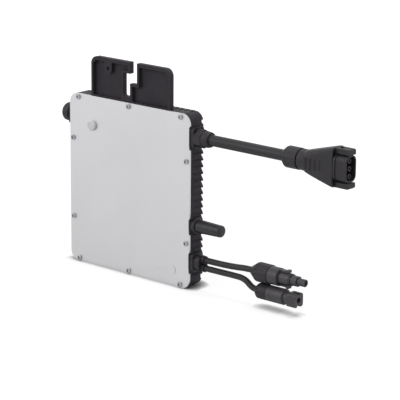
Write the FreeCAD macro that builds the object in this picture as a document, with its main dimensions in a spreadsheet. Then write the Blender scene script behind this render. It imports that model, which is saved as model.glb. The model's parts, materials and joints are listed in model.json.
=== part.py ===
# Solar microinverter: a flat die-cast housing whose back is one large finned heat sink, closed at
# the front by a screwed sheet cover, with a hanging bracket at the top, an alternating-current
# cable with a latching plug, a stub antenna and two panel leads with round solar connectors.
# Millimetres. X to the right, Y to the back, Z up. The origin is the middle of the bottom edge,
# in the plane of the port axes. Depths are named from the cover's front face, one port depth in
# front of that plane.
import FreeCAD, Part
import math
import os
import re
import Sketcher

SIZES = {
    # Cover, gasket and their screws
    "plate_width": 160.0,
    "plate_height": 174.0,
    "plate_corner": 10.5,
    "plate_thickness": 1.5,
    "notch_depth": 1.4,
    "notch_slope": 1.6,
    "pressed_disc_radius": 4.5,
    "pressed_disc_height": 0.5,
    "pressed_disc_inset": 22.6,
    "pressed_disc_rise": 16.3,
    "gasket_thickness": 0.5,
    "gasket_inset": 0.5,
    "gasket_width": 2.5,
    "eyelet_radius": 3.2,
    "cover_screw_radius": 1.5,
    "cover_screw_head_radius": 2.6,
    "cover_screw_head_height": 1.7,
    "cover_screw_depth": 8.0,
    "screw_socket_width": 2.5,
    "screw_socket_depth": 1.0,
    "corner_screw_offset": 68.0,
    "end_screw_inset": 3.6,
    "side_screw_inset": 4.5,
    "side_screw_offset": 40.75,
    "vent_radius": 5.0,
    "vent_height": 2.7,
    "vent_chamfer": 0.4,
    "vent_stem_radius": 3.0,
    "vent_clip_radius": 4.0,
    "vent_inset": 31.0,
    "vent_drop": 30.0,
    # Housing
    "flange_thickness": 2.6,
    "lower_corner": 13.0,
    "shoulder_start": 19.6,
    "housing_depth": 30.0,
    "shoulder_width": 11.3,
    "plateau_corner": 8.0,
    "plateau_lower_corner": 10.0,
    "fin_pitch": 6.69,
    "fin_thickness": 1.5,
    "groove_count": 24,
    "rib_height": 0.8,
    "scallop_width": 1.9,
    "scallop_count": 22,
    "scallop_inset": 2.5,
    "side_root_depth": 17.7,
    "plateau_root_inset": 9.0,
    "fin_root_depth": 22.6,
    "wall": 2.3,
    "floor_step_depth": 15.7,
    "floor_step_inset": 12.0,
    "cavity_corner": 7.5,
    "cover_boss_radius": 3.4,
    "board_boss_radius": 3.0,
    "seat_margin": 0.2,
    # Hanging bracket
    "bracket_width": 104.4,
    "bracket_height": 40.0,
    "bracket_back": 7.5,
    "bracket_corner": 7.5,
    "bracket_rim": 2.7,
    "bracket_top_rim": 3.6,
    "panel_thickness": 1.9,
    "slot_width": 9.2,
    "slot_entry_depth": 21.1,
    "slot_lobe_drop": 11.5,
    "slot_bottom_rise": 5.5,
    "slot_corner": 2.0,
    "earth_hole_radius": 2.1,
    "earth_boss_radius": 4.9,
    "earth_hole_offset": 29.3,
    "earth_hole_drop": 10.1,
    # Ports on the side walls
    "port_depth": 9.0,
    "outlet_rise": 151.0,
    "antenna_rise": 63.5,
    "gland_rise": 27.0,
    "port_flange_thickness": 3.0,
    "port_flange_width": 15.5,
    "port_flange_corner": 3.0,
    "outlet_flange_height": 20.4,
    "gland_flange_height": 18.5,
    "outlet_hole_radius": 5.0,
    "antenna_hole_radius": 3.2,
    "lead_hole_radius": 2.4,
    "sleeve_reach": 2.9,
    "fit_gap": 0.2,
    "port_screw_radius": 0.9,
    "port_screw_head_radius": 1.4,
    "port_screw_head_height": 0.8,
    "port_screw_depth": 3.0,
    "outlet_screw_spread": 5.7,
    "outlet_screw_rise": 8.3,
    # Alternating-current outlet gland and cable
    "outlet_bore_radius": 4.0,
    "outlet_spigot_radius": 6.2,
    "outlet_spigot_length": 6.6,
    "outlet_nut_flats": 16.5,
    "outlet_nut_length": 8.3,
    "outlet_dome_length": 7.6,
    "outlet_dome_start": 8.0,
    "outlet_dome_end": 6.7,
    "outlet_seal_radius": 5.8,
    "nut_chamfer": 1.2,
    "cable_radius": 5.4,
    "cable_length": 89.8,
    "conductor_radius": 1.2,
    "conductor_ring": 2.3,
    # Alternating-current plug
    "plug_nut_flats": 20.6,
    "plug_nut_taper": 4.3,
    "plug_nut_start": 6.8,
    "plug_nut_length": 18.8,
    "plug_gap": 0.8,
    "shell_neck_radius": 10.0,
    "shell_neck_length": 6.7,
    "shell_flare_length": 32.5,
    "shell_rim_length": 2.3,
    "shell_half_height": 18.5,
    "shell_half_width": 9.4,
    "shell_corner": 4.5,
    "neck_corner_share": 0.586,
    "rim_corner_share": 0.586,
    "shell_wall": 1.4,
    "grip_height": 0.7,
    "grip_width": 1.5,
    "grip_half_length": 5.6,
    "grip_count": 4,
    "grip_pitch": 5.2,
    "grip_start": 11.3,
    "latch_length": 15.9,
    "latch_thickness": 4.0,
    "latch_half_width": 5.2,
    "latch_hook_length": 3.2,
    "latch_hook_height": 1.2,
    "latch_window_length": 4.0,
    "latch_window_start": 2.4,
    "latch_window_half_width": 2.2,
    "socket_reach": 14.4,
    "socket_root": 6.0,
    "socket_half_width": 7.85,
    "socket_half_height": 12.4,
    "socket_corner": 6.0,
    "socket_wall": 1.6,
    "socket_depth": 11.0,
    "socket_pitch": 7.2,
    "contact_tower_radius": 2.6,
    "contact_radius": 1.7,
    "contact_bore_radius": 1.1,
    "contact_length": 12.0,
    "socket_ring_height": 0.9,
    "socket_ring_length": 2.2,
    # Alternating-current inlet with its cap
    "inlet_spigot_radius": 8.2,
    "inlet_spigot_length": 7.0,
    "inlet_pin_radius": 1.0,
    "inlet_well_depth": 5.5,
    "cap_radius": 9.3,
    "cap_length": 9.0,
    "cap_wall": 1.1,
    "cap_round": 1.9,
    # Antenna
    "antenna_collar_radius": 8.0,
    "antenna_collar_length": 4.0,
    "antenna_collar_chamfer": 1.0,
    "antenna_base_radius": 6.65,
    "antenna_tip_radius": 5.8,
    "antenna_reach": 33.6,
    "antenna_round": 1.6,
    "antenna_stem_radius": 3.0,
    "antenna_stem_length": 6.4,
    "antenna_nut_flats": 9.0,
    "antenna_nut_length": 2.4,
    # Panel lead gland and leads
    "gland_body_length": 6.8,
    "gland_body_width": 13.6,
    "gland_body_height": 16.0,
    "gland_body_corner": 6.4,
    "gland_collar_radius": 4.0,
    "gland_collar_length": 3.4,
    "lead_spacing": 8.05,
    "lead_radius": 3.0,
    "lead_core_radius": 1.9,
    # Panel connectors
    "pin_boot_start": 151.0,
    "pin_boot_length": 8.2,
    "pin_nut_length": 15.2,
    "pin_nut_radius": 9.5,
    "pin_depth": 10.0,
    "pin_rise": 33.0,
    "pin_body_length": 11.6,
    "pin_body_radius": 8.7,
    "pin_neck_length": 12.0,
    "pin_neck_radius": 6.0,
    "pin_barrel_length": 8.8,
    "pin_barrel_radius": 5.0,
    "pin_tip_length": 8.2,
    "pin_tip_radius": 3.6,
    "pin_bore_radius": 2.3,
    "pin_contact_radius": 1.6,
    "prong_width": 5.0,
    "prong_thickness": 1.6,
    "prong_length": 10.5,
    "prong_hook": 1.0,
    "sleeve_boot_start": 159.0,
    "sleeve_nut_length": 15.0,
    "sleeve_nut_radius": 7.7,
    "sleeve_depth": 8.0,
    "sleeve_rise": 15.6,
    "sleeve_body_length": 20.0,
    "sleeve_barrel_length": 15.0,
    "sleeve_neck_radius": 5.9,
    "sleeve_neck_length": 5.0,
    "sleeve_head_half": 6.6,
    "sleeve_head_corner": 2.6,
    "body_chamfer": 0.8,
    "sleeve_bore_radius": 2.6,
    "sleeve_contact_radius": 2.4,
    "sleeve_slot_width": 4.4,
    "sleeve_slot_length": 6.5,
    "sleeve_slot_depth": 1.6,
    "flute_radius": 0.9,
    "flute_count": 12,
    # Circuit board and what it carries
    "board_front": 4.0,
    "board_thickness": 1.6,
    "board_inset": 9.5,
    "board_corner": 3.0,
    "board_screw_inset": 18.0,
    "board_screw_rise": 42.0,
    "board_screw_radius": 1.5,
    "board_screw_head_radius": 2.8,
    "board_screw_head_height": 1.8,
    "board_screw_depth": 7.0,
    "terminal_inset": 12.0,
    "terminal_length": 9.0,
    "terminal_height": 16.0,
    "terminal_rise": 8.0,
    "core_across": -14.0,
    "core_up": 96.0,
    "core_width": 38.0,
    "core_height": 32.0,
    "core_front": 3.0,
    "core_thickness": 7.0,
    "core_limb": 5.0,
    "core_leg": 9.0,
    "winding_gap": 0.4,
    "winding_depth": 12.6,
    "input_capacitor_radius": 6.2,
    "input_capacitor_height": 13.2,
    "input_capacitor_across": 18.0,
    "input_capacitor_up": 38.0,
    "input_capacitor_pitch": 14.0,
    "film_capacitor_width": 30.0,
    "film_capacitor_height": 14.0,
    "film_capacitor_depth": 12.5,
    "film_capacitor_across": -42.0,
    "film_capacitor_up": 140.0,
    "relay_width": 12.0,
    "relay_height": 20.0,
    "relay_depth": 13.0,
    "relay_across": 22.0,
    "relay_up": 148.0,
    "relay_pitch": 15.0,
    "choke_across": 46.0,
    "choke_up": 112.0,
    "choke_radius": 12.0,
    "choke_bore": 5.0,
    "choke_height": 10.0,
    "transistor_width": 10.0,
    "transistor_height": 13.0,
    "transistor_depth": 4.6,
    "transistor_across": -50.0,
    "transistor_up": 40.0,
    "transistor_pitch": 15.0,
    "transistor_count": 4,
    "radio_width": 16.0,
    "radio_height": 20.0,
    "radio_depth": 5.6,
    "antenna_lead_radius": 0.9,
}

doc = FreeCAD.newDocument("Microinverter")
sheet = doc.addObject("Spreadsheet::Sheet", "Sizes")
for row, (alias, value) in enumerate(SIZES.items(), start=1):
    sheet.set(f"A{row}", alias)
    sheet.set(f"B{row}", str(value))
    sheet.setAlias(f"B{row}", alias)
doc.recompute()

# Each drawing plane with the sign of its normal along the world axis
PLANES = {"front": ("XZ_Plane", -1), "side": ("YZ_Plane", 1), "level": ("XY_Plane", 1)}
nodes = []


def formula(text):
    def full_name(word):
        return "Sizes." + word[0] if word[0] in SIZES else word[0]
    return re.sub(r"[a-z_]+", full_name, str(text))


def number(text):
    return float(sheet.evalExpression(str(text)))


def bind(item, prop, text):
    item.setExpression(prop, formula(text))


def new_body(label, x="0", y="0", z="0"):
    body = doc.addObject("PartDesign::Body", label)
    body.Label = label
    body.AllowCompound = True
    bind(body, "Placement.Base.x", x)
    bind(body, "Placement.Base.y", f"{y} - port_depth")
    bind(body, "Placement.Base.z", z)
    nodes.append(body)
    return body


def origin_feature(body, role):
    return next(item for item in body.Origin.OriginFeatures if item.Role == role)


def new_sketch(body, name, plane, place):
    role, sign = PLANES[plane]
    sketch = body.newObject("Sketcher::SketchObject", name)
    sketch.AttachmentSupport = [(origin_feature(body, role), "")]
    sketch.MapMode = "FlatFace"
    bind(sketch, "AttachmentOffset.Base.z", f"{sign} * ({place})")
    return sketch


def constrain(sketch, kind, *places, text):
    index = sketch.addConstraint(Sketcher.Constraint(kind, *places, number(text)))
    name = f"size_{index}"
    sketch.renameConstraint(index, name)
    bind(sketch, f"Constraints.{name}", text)


def pin(sketch, edge, point, across, up):
    for kind, axis, text in (("DistanceX", -2, across), ("DistanceY", -1, up)):
        if text == "0":
            sketch.addConstraint(Sketcher.Constraint("PointOnObject", edge, point, axis))
        else:
            constrain(sketch, kind, -1, 1, edge, point, text=text)


def polygon(points):
    def draw(sketch):
        corners = [FreeCAD.Vector(number(across), number(up), 0) for across, up in points]
        first = sketch.GeometryCount
        count = len(corners)
        for index in range(count):
            sketch.addGeometry(Part.LineSegment(corners[index], corners[(index + 1) % count]))
        for index in range(count):
            after = (index + 1) % count
            sketch.addConstraint(Sketcher.Constraint("Coincident", first + index, 2, first + after, 1))
        for index, (across, up) in enumerate(points):
            pin(sketch, first + index, 1, across, up)
    return draw


def rectangle(left, right, low, high):
    return polygon([(left, low), (right, low), (right, high), (left, high)])


def regular(sides, flats, turn=0.0):
    angles = [math.radians(turn + 360 * (index + 0.5) / sides) for index in range(sides)]
    reach = 0.5 / math.cos(math.pi / sides)
    return polygon([(f"{flats} * {reach * math.cos(angle):.6f}",
                     f"{flats} * {reach * math.sin(angle):.6f}") for angle in angles])


def circles(places, radius):
    def draw(sketch):
        for across, up in places:
            centre = FreeCAD.Vector(number(across), number(up), 0)
            edge = sketch.addGeometry(Part.Circle(centre, FreeCAD.Vector(0, 0, 1), number(radius)))
            constrain(sketch, "Radius", edge, text=radius)
            pin(sketch, edge, 3, across, up)
    return draw


def circle(radius):
    return circles([("0", "0")], radius)


def rounded(left, right, low, high, upper_radius, lower_radius=None):
    lower_radius = lower_radius or upper_radius

    def draw(sketch):
        x0, x1, y0, y1 = number(left), number(right), number(low), number(high)
        big, small = number(upper_radius), number(lower_radius)
        first = sketch.GeometryCount
        ends = [
            (x0 + small, y0, x1 - small, y0), (x1, y0 + small, x1, y1 - big),
            (x1 - big, y1, x0 + big, y1), (x0, y1 - big, x0, y0 + small),
        ]
        hubs = [(x1 - small, y0 + small, small, 270), (x1 - big, y1 - big, big, 0),
                (x0 + big, y1 - big, big, 90), (x0 + small, y0 + small, small, 180)]
        for side, hub in zip(ends, hubs):
            start, end = FreeCAD.Vector(side[0], side[1], 0), FreeCAD.Vector(side[2], side[3], 0)
            sketch.addGeometry(Part.LineSegment(start, end))
            ring = Part.Circle(FreeCAD.Vector(hub[0], hub[1], 0), FreeCAD.Vector(0, 0, 1), hub[2])
            angle = math.radians(hub[3])
            sketch.addGeometry(Part.ArcOfCircle(ring, angle, angle + math.pi / 2))
        for index in range(8):
            after = first + (index + 1) % 8
            sketch.addConstraint(Sketcher.Constraint("Tangent", first + index, 2, after, 1))
        for index, kind in enumerate(("Horizontal", "Vertical", "Horizontal", "Vertical")):
            sketch.addConstraint(Sketcher.Constraint(kind, first + 2 * index))
        constrain(sketch, "DistanceY", -1, 1, first, 1, text=low)
        constrain(sketch, "DistanceX", -1, 1, first + 2, 1, text=right)
        constrain(sketch, "DistanceY", -1, 1, first + 4, 1, text=high)
        constrain(sketch, "DistanceX", -1, 1, first + 6, 1, text=left)
        for index, radius in ((1, lower_radius), (3, upper_radius), (5, upper_radius), (7, lower_radius)):
            constrain(sketch, "Radius", first + index, text=radius)
    return draw


def settle(body, feature, cut, before):
    doc.recompute()
    after = feature.Shape.Volume
    if (after >= before - 1e-6) if cut else (after <= before + 1e-6):
        raise RuntimeError(f"{body.Label}: {feature.Name} changes nothing")
    body.Tip = feature
    return feature


def volume_so_far(body):
    return body.Tip.Shape.Volume if body.Tip else 0.0


# A pad, or a cut, of one outline from one place to another along the plane's world axis
def slab(body, name, plane, low, high, outline, cut=False):
    before = volume_so_far(body)
    sketch = new_sketch(body, name + "_outline", plane, low)
    outline(sketch)
    feature = body.newObject("PartDesign::Pocket" if cut else "PartDesign::Pad", name)
    feature.Profile = sketch
    bind(feature, "Length", f"({high}) - ({low})")
    feature.Reversed = (PLANES[plane][1] < 0) != cut
    return settle(body, feature, cut, before)


# A profile of (x, radius) points turned about the body's X axis
def turn(body, name, points, cut=False):
    before = volume_so_far(body)
    sketch = new_sketch(body, name + "_profile", "level", "0")
    polygon(points)(sketch)
    feature = body.newObject("PartDesign::Groove" if cut else "PartDesign::Revolution", name)
    feature.Profile = sketch
    feature.ReferenceAxis = (sketch, ["H_Axis"])
    feature.Angle = 360
    return settle(body, feature, cut, before)


def loft(body, name, plane, sections, cut=False):
    before = volume_so_far(body)
    sketches = []
    for index, (place, outline) in enumerate(sections):
        sketch = new_sketch(body, f"{name}_section_{index}", plane, place)
        outline(sketch)
        sketches.append(sketch)
    kind = "PartDesign::SubtractiveLoft" if cut else "PartDesign::AdditiveLoft"
    feature = body.newObject(kind, name)
    feature.Profile = sketches[0]
    feature.Sections = sketches[1:]
    feature.Ruled = True
    return settle(body, feature, cut, before)


def repeat_along(body, name, feature, role, count, step, cut=False):
    before = volume_so_far(body)
    pattern = body.newObject("PartDesign::LinearPattern", name)
    pattern.Originals = [feature]
    pattern.Direction = (origin_feature(body, role), [""])
    bind(pattern, "Length", f"({count} - 1) * {step}")
    bind(pattern, "Occurrences", count)
    return settle(body, pattern, cut, before)


def repeat_around(body, name, feature, role, count, cut=False):
    before = volume_so_far(body)
    pattern = body.newObject("PartDesign::PolarPattern", name)
    pattern.Originals = [feature]
    pattern.Axis = (origin_feature(body, role), [""])
    pattern.Angle = 360
    bind(pattern, "Occurrences", count)
    return settle(body, pattern, cut, before)


def soften(body, name, size, chosen, chamfer=False):
    base = body.Tip
    edges = [f"Edge{index}" for index, edge in enumerate(base.Shape.Edges, start=1) if chosen(edge)]
    feature = body.newObject("PartDesign::Chamfer" if chamfer else "PartDesign::Fillet", name)
    feature.Base = (base, edges)
    bind(feature, "Size" if chamfer else "Radius", size)
    doc.recompute()
    body.Tip = feature
    return feature


# The round edges that lie in one plane across an axis, with a given radius
def round_edge(axis, place, radius):
    def chosen(edge):
        middle = getattr(edge.BoundBox.Center, axis)
        flat = getattr(edge.BoundBox, axis.upper() + "Length") < 1e-4
        ring = isinstance(edge.Curve, Part.Circle) and abs(edge.Curve.Radius - number(radius)) < 1e-4
        return flat and ring and abs(middle - number(place)) < 1e-4
    return chosen


# Cover, gasket and screws share these places
RIGHT = "plate_width / 2"
LEFT = "-plate_width / 2"
COVER_BACK = "plate_thickness + gasket_thickness"
END_HIGH = "plate_height - end_screw_inset"
SIDE_SCREW = "(plate_width / 2 - side_screw_inset)"
cover_screws = [("-corner_screw_offset", "end_screw_inset"), ("0", "end_screw_inset"),
                ("corner_screw_offset", "end_screw_inset"), ("-corner_screw_offset", END_HIGH),
                ("0", END_HIGH), ("corner_screw_offset", END_HIGH)]
for sign in ("-", ""):
    for side in ("-", "+"):
        cover_screws.append((f"{sign}{SIDE_SCREW}", f"plate_height / 2 {side} side_screw_offset"))
VENT = [(f"{LEFT} + vent_inset", "plate_height - vent_drop")]
board_holes = [(f"{sign}(plate_width / 2 - board_screw_inset)", up) for sign in ("-", "")
               for up in ("board_screw_rise", "plate_height - board_screw_rise")]


# Places on the side walls, all worked out from the housing
SIDE_FACE = "(plate_width / 2 - rib_height)"
BOARD_BACK = "(board_front + board_thickness)"
OUTLET_SCREWS = [(f"{a}outlet_screw_spread", f"{b}outlet_screw_rise") for a in ("-", "") for b in ("-", "")]
LEAD_PLACES = [("0", "lead_spacing / 2"), ("0", "-lead_spacing / 2")]
CONDUCTORS = [(f"conductor_ring * {math.cos(math.radians(angle)):.6f}",
               f"conductor_ring * {math.sin(math.radians(angle)):.6f}") for angle in (90, 210, 330)]


def moved(places, across, up):
    return [(f"{x} + {across}", f"{y} + {up}") for x, y in places]


# Die-cast housing: fins, cavity, screw bosses, ports and the hanging bracket, all in one casting
def make_heatsink_housing():
    body = new_body("heatsink_housing")
    flange_back = f"{COVER_BACK} + flange_thickness"
    slab(body, "flange", "front", COVER_BACK, flange_back,
         rounded(LEFT, RIGHT, "0", "plate_height", "plate_corner"))
    outline = rounded(LEFT, RIGHT, "0", "plate_height", "plate_corner", "lower_corner")
    plateau = rounded(f"{LEFT} + shoulder_width", f"{RIGHT} - shoulder_width", "shoulder_width",
                      "plate_height - shoulder_width", "plateau_corner", "plateau_lower_corner")
    slab(body, "envelope", "front", flange_back, "shoulder_start", outline)
    loft(body, "shoulders", "front", [("shoulder_start", outline), ("housing_depth", plateau)])
    cavity = rounded(f"{LEFT} + rib_height + wall", f"{RIGHT} - rib_height - wall",
                     "rib_height + wall", "plate_height - rib_height - wall", "cavity_corner")
    slab(body, "cavity", "front", COVER_BACK, "floor_step_depth", cavity, cut=True)
    step = rounded(f"{LEFT} + floor_step_inset", f"{RIGHT} - floor_step_inset", "floor_step_inset",
                   "plate_height - floor_step_inset", "cavity_corner")
    slab(body, "cavity_step", "front", "floor_step_depth", "fin_root_depth - wall", step, cut=True)
    slab(body, "cover_bosses", "front", COVER_BACK, "floor_step_depth",
         circles(cover_screws, "cover_boss_radius"))
    slab(body, "board_bosses", "front", BOARD_BACK, "fin_root_depth - wall",
         circles(board_holes, "board_boss_radius"))
    slab(body, "cover_threads", "front", COVER_BACK, f"{COVER_BACK} + cover_screw_depth",
         circles(cover_screws, "cover_screw_radius"), cut=True)
    slab(body, "board_threads", "front", BOARD_BACK, f"{BOARD_BACK} + board_screw_depth",
         circles(board_holes, "board_screw_radius"), cut=True)
    make_bracket(body)
    make_scallops(body)
    make_grooves(body, flange_back)
    make_ports(body, flange_back)


# The fins are what is left between the grooves, which run across the back and round both sides
def make_grooves(body, flange_back):
    root_half = "(plate_width / 2 - plateau_root_inset)"
    clear = "plate_width"
    low = "plate_height / 2 - fin_pitch * groove_count / 2 + fin_thickness / 2"
    profile = polygon([
        (SIDE_FACE, flange_back), (clear, flange_back), (clear, "housing_depth * 2"),
        (f"-{clear}", "housing_depth * 2"), (f"-{clear}", flange_back), (f"-{SIDE_FACE}", flange_back),
        (f"-{SIDE_FACE}", "side_root_depth"), (f"-{root_half}", "fin_root_depth"),
        (root_half, "fin_root_depth"), (SIDE_FACE, "side_root_depth"),
    ])
    groove = slab(body, "groove", "level", low, f"{low} + fin_pitch - fin_thickness", profile, cut=True)
    repeat_along(body, "grooves", groove, "Z_Axis", "groove_count", "fin_pitch", cut=True)


# Scallops along the top edge and its slope, behind the bracket and on both sides of it
def make_scallops(body):
    start = "(bracket_back + scallop_inset)"
    profile = polygon([
        (start, "plate_height - rib_height"), ("shoulder_start", "plate_height - rib_height"),
        ("housing_depth", "plate_height - shoulder_width - rib_height"), ("housing_depth", "plate_height"),
        (start, "plate_height"),
    ])
    low = "-(scallop_count - 1) / 2 * fin_pitch - scallop_width / 2"
    scallop = slab(body, "scallop", "side", low, f"{low} + scallop_width", profile, cut=True)
    repeat_along(body, "scallops", scallop, "X_Axis", "scallop_count", "fin_pitch", cut=True)


# Flat seats between the ribs for the flanges, then the holes and screw threads in the side walls
def make_ports(body, flange_back):
    inner = f"{RIGHT} - rib_height - wall / 2"
    seats = [("outlet_rise", "outlet_flange_height / 2"), ("gland_rise", "gland_flange_height / 2"),
             ("antenna_rise", "antenna_collar_radius")]
    front = f"{flange_back} - seat_margin"
    back = "port_depth + port_flange_width / 2 + seat_margin"
    for index, (rise, half) in enumerate(seats):
        seat = rectangle(front, back, f"{rise} - {half} - seat_margin", f"{rise} + {half} + seat_margin")
        slab(body, f"right_seat_{index}", "side", inner, RIGHT, seat)
    rise, half = seats[0]
    seat = rectangle(front, back, f"{rise} - {half} - seat_margin", f"{rise} + {half} + seat_margin")
    slab(body, "left_seat", "side", LEFT, f"-({inner})", seat)
    depth = "rib_height + wall + fit_gap"
    outlet = circles([("port_depth", "outlet_rise")], "outlet_hole_radius")
    threads = circles(moved(OUTLET_SCREWS, "port_depth", "outlet_rise"), "port_screw_radius")
    slab(body, "outlet_hole", "side", f"{RIGHT} - ({depth})", RIGHT, outlet, cut=True)
    slab(body, "inlet_hole", "side", LEFT, f"{LEFT} + {depth}", outlet, cut=True)
    slab(body, "outlet_threads", "side", f"{RIGHT} - port_screw_depth", RIGHT, threads, cut=True)
    slab(body, "inlet_threads", "side", LEFT, f"{LEFT} + port_screw_depth", threads, cut=True)
    slab(body, "antenna_hole", "side", f"{RIGHT} - ({depth})", RIGHT,
         circles([("port_depth", "antenna_rise")], "antenna_hole_radius"), cut=True)
    slab(body, "lead_holes", "side", f"{RIGHT} - ({depth})", RIGHT,
         circles(moved(LEAD_PLACES, "port_depth", "gland_rise"), "lead_hole_radius + fit_gap"), cut=True)


# Hanging bracket: a thin panel in a raised rim, with an L-shaped hook slot and an earthing hole
def make_bracket(body):
    half = "bracket_width / 2"
    top = "(plate_height + bracket_height)"
    root = "plate_height - rib_height - wall / 2"
    panel = "bracket_back - panel_thickness"
    lobe_top = f"({top} - slot_lobe_drop)"
    step = f"({top} - slot_entry_depth)"
    low = "(plate_height + slot_bottom_rise)"
    inner = "(plate_height + bracket_rim / 2)"
    slab(body, "bracket", "front", COVER_BACK, "bracket_back",
         rounded(f"-{half}", half, root, top, "bracket_corner", "wall / 2"))
    rim_left, rim_right = f"-({half}) + bracket_rim", f"{half} - bracket_rim"
    rim_top = f"{top} - bracket_top_rim"
    left_recess = polygon([
        (rim_left, inner), ("-slot_width - bracket_rim", inner),
        ("-slot_width - bracket_rim", f"{lobe_top} + bracket_rim"),
        ("-bracket_rim", f"{lobe_top} + bracket_rim"), ("-bracket_rim", rim_top),
        (f"{rim_left} + bracket_corner / 2", rim_top), (rim_left, f"{rim_top} - bracket_corner / 2"),
    ])
    right_recess = polygon([
        ("bracket_rim", inner), (rim_right, inner), (rim_right, f"{rim_top} - bracket_corner / 2"),
        (f"{rim_right} - bracket_corner / 2", rim_top), ("slot_width + bracket_rim", rim_top),
        ("slot_width + bracket_rim", f"{step} - bracket_rim"), ("bracket_rim", f"{step} - bracket_rim"),
    ])
    slab(body, "left_recess", "front", COVER_BACK, panel, left_recess, cut=True)
    slab(body, "right_recess", "front", COVER_BACK, panel, right_recess, cut=True)
    earth = [("-earth_hole_offset", f"{top} - earth_hole_drop")]
    slab(body, "earth_boss", "front", COVER_BACK, "bracket_back", circles(earth, "earth_boss_radius"))
    slab(body, "earth_hole", "front", COVER_BACK, "bracket_back", circles(earth, "earth_hole_radius"),
         cut=True)
    entry = rectangle("0", "slot_width", step, f"{top} + slot_width")
    lobe = rounded("-slot_width", "0", low, lobe_top, "slot_corner")
    slab(body, "slot_entry", "front", COVER_BACK, "bracket_back", entry, cut=True)
    slab(body, "slot_lobe", "front", COVER_BACK, "bracket_back", lobe, cut=True)
    throat = rectangle("-slot_corner", "slot_corner", step, lobe_top)
    slab(body, "slot_throat", "front", COVER_BACK, "bracket_back", throat, cut=True)


# Sheet cover with a notch in its right edge for each port and one shallow pressed disc
def make_cover_plate():
    body = new_body("cover_plate")
    slab(body, "sheet_metal", "front", "0", "plate_thickness",
         rounded(LEFT, RIGHT, "0", "plate_height", "plate_corner"))
    disc = [(f"{RIGHT} - pressed_disc_inset", "pressed_disc_rise")]
    slab(body, "pressed_disc", "front", "-pressed_disc_height", "0",
         circles(disc, "pressed_disc_radius"))
    slab(body, "pressed_hollow", "front", "plate_thickness - pressed_disc_height", "plate_thickness",
         circles(disc, "pressed_disc_radius - pressed_disc_height"), cut=True)
    ports = [("outlet_rise", "outlet_flange_height / 2"), ("gland_rise", "gland_flange_height / 2"),
             ("antenna_rise", "antenna_base_radius")]
    for index, (rise, half) in enumerate(ports):
        edge, bottom = f"{RIGHT} + notch_depth", f"{RIGHT} - notch_depth"
        notch = polygon([
            (edge, f"{rise} - {half} - 2 * notch_slope"), (edge, f"{rise} + {half} + 2 * notch_slope"),
            (bottom, f"{rise} + {half}"), (bottom, f"{rise} - {half}"),
        ])
        slab(body, f"notch_{index}", "front", "0", "plate_thickness", notch, cut=True)
    slab(body, "screw_holes", "front", "0", "plate_thickness",
         circles(cover_screws, "cover_screw_radius + fit_gap"), cut=True)
    slab(body, "vent_hole", "front", "0", "plate_thickness",
         circles(VENT, "vent_stem_radius"), cut=True)


def make_cover_gasket():
    body = new_body("cover_gasket")
    outer = "gasket_inset"
    inner = "(gasket_inset + gasket_width)"
    slab(body, "ring", "front", "plate_thickness", COVER_BACK,
         rounded(f"{LEFT} + {outer}", f"{RIGHT} - {outer}", outer, f"plate_height - {outer}",
                 f"plate_corner - {outer}"))
    slab(body, "ring_inside", "front", "plate_thickness", COVER_BACK,
         rounded(f"{LEFT} + {inner}", f"{RIGHT} - {inner}", inner, f"plate_height - {inner}",
                 f"plate_corner - {inner}"), cut=True)
    slab(body, "eyelets", "front", "plate_thickness", COVER_BACK, circles(cover_screws, "eyelet_radius"))
    slab(body, "eyelet_holes", "front", "plate_thickness", COVER_BACK,
         circles(cover_screws, "cover_screw_radius + fit_gap"), cut=True)


def make_cover_screws():
    body = new_body("cover_screws")
    slab(body, "heads", "front", "-cover_screw_head_height", "0",
         circles(cover_screws, "cover_screw_head_radius"))
    soften(body, "head_rounding", "cover_screw_head_height / 3",
           round_edge("y", "-cover_screw_head_height", "cover_screw_head_radius"), chamfer=True)
    slab(body, "shanks", "front", "0", f"{COVER_BACK} + cover_screw_depth",
         circles(cover_screws, "cover_screw_radius"))
    half = "screw_socket_width / 2"
    for index, (across, up) in enumerate(cover_screws):
        socket = rectangle(f"{across} - {half}", f"{across} + {half}", f"{up} - {half}", f"{up} + {half}")
        slab(body, f"socket_{index}", "front", "-cover_screw_head_height",
             "screw_socket_depth - cover_screw_head_height", socket, cut=True)


# Pressure vent: a button on the cover, its stem through the sheet and a clip disc behind it
def make_vent_plug():
    body = new_body("vent_plug")
    slab(body, "button", "front", "-vent_height", "0", circles(VENT, "vent_radius"))
    soften(body, "button_rim", "vent_chamfer", round_edge("y", "-vent_height", "vent_radius"),
           chamfer=True)
    slab(body, "stem", "front", "0", "plate_thickness", circles(VENT, "vent_stem_radius"))
    slab(body, "clip", "front", "plate_thickness", "plate_thickness + gasket_thickness",
         circles(VENT, "vent_clip_radius"))


# Flange of a cable port; its sleeve fills the hole in the wall, its spigot stands outside
def make_port_flange(label, sign):
    body = new_body(label, "0", "port_depth", "outlet_rise")
    low, high = (RIGHT, f"{RIGHT} + port_flange_thickness") if sign > 0 else (
        f"{LEFT} - port_flange_thickness", LEFT)
    plate = rounded("-port_flange_width / 2", "port_flange_width / 2", "-outlet_flange_height / 2",
                    "outlet_flange_height / 2", "port_flange_corner")
    slab(body, "plate", "side", low, high, plate)
    inside = "rib_height + wall + sleeve_reach"
    if sign > 0:
        slab(body, "sleeve", "side", f"{RIGHT} - ({inside})", RIGHT, circle("outlet_hole_radius"))
        slab(body, "spigot", "side", high, f"{high} + outlet_spigot_length",
             circle("outlet_spigot_radius"))
        slab(body, "bore", "side", f"{RIGHT} - ({inside})", f"{high} + outlet_spigot_length",
             circle("outlet_bore_radius"), cut=True)
    else:
        slab(body, "sleeve", "side", LEFT, f"{LEFT} + {inside}", circle("outlet_hole_radius"))
        slab(body, "bore", "side", low, f"{LEFT} + {inside}", circle("outlet_bore_radius"), cut=True)
    slab(body, "screw_holes", "side", low, high, circles(OUTLET_SCREWS, "port_screw_radius"), cut=True)


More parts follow.
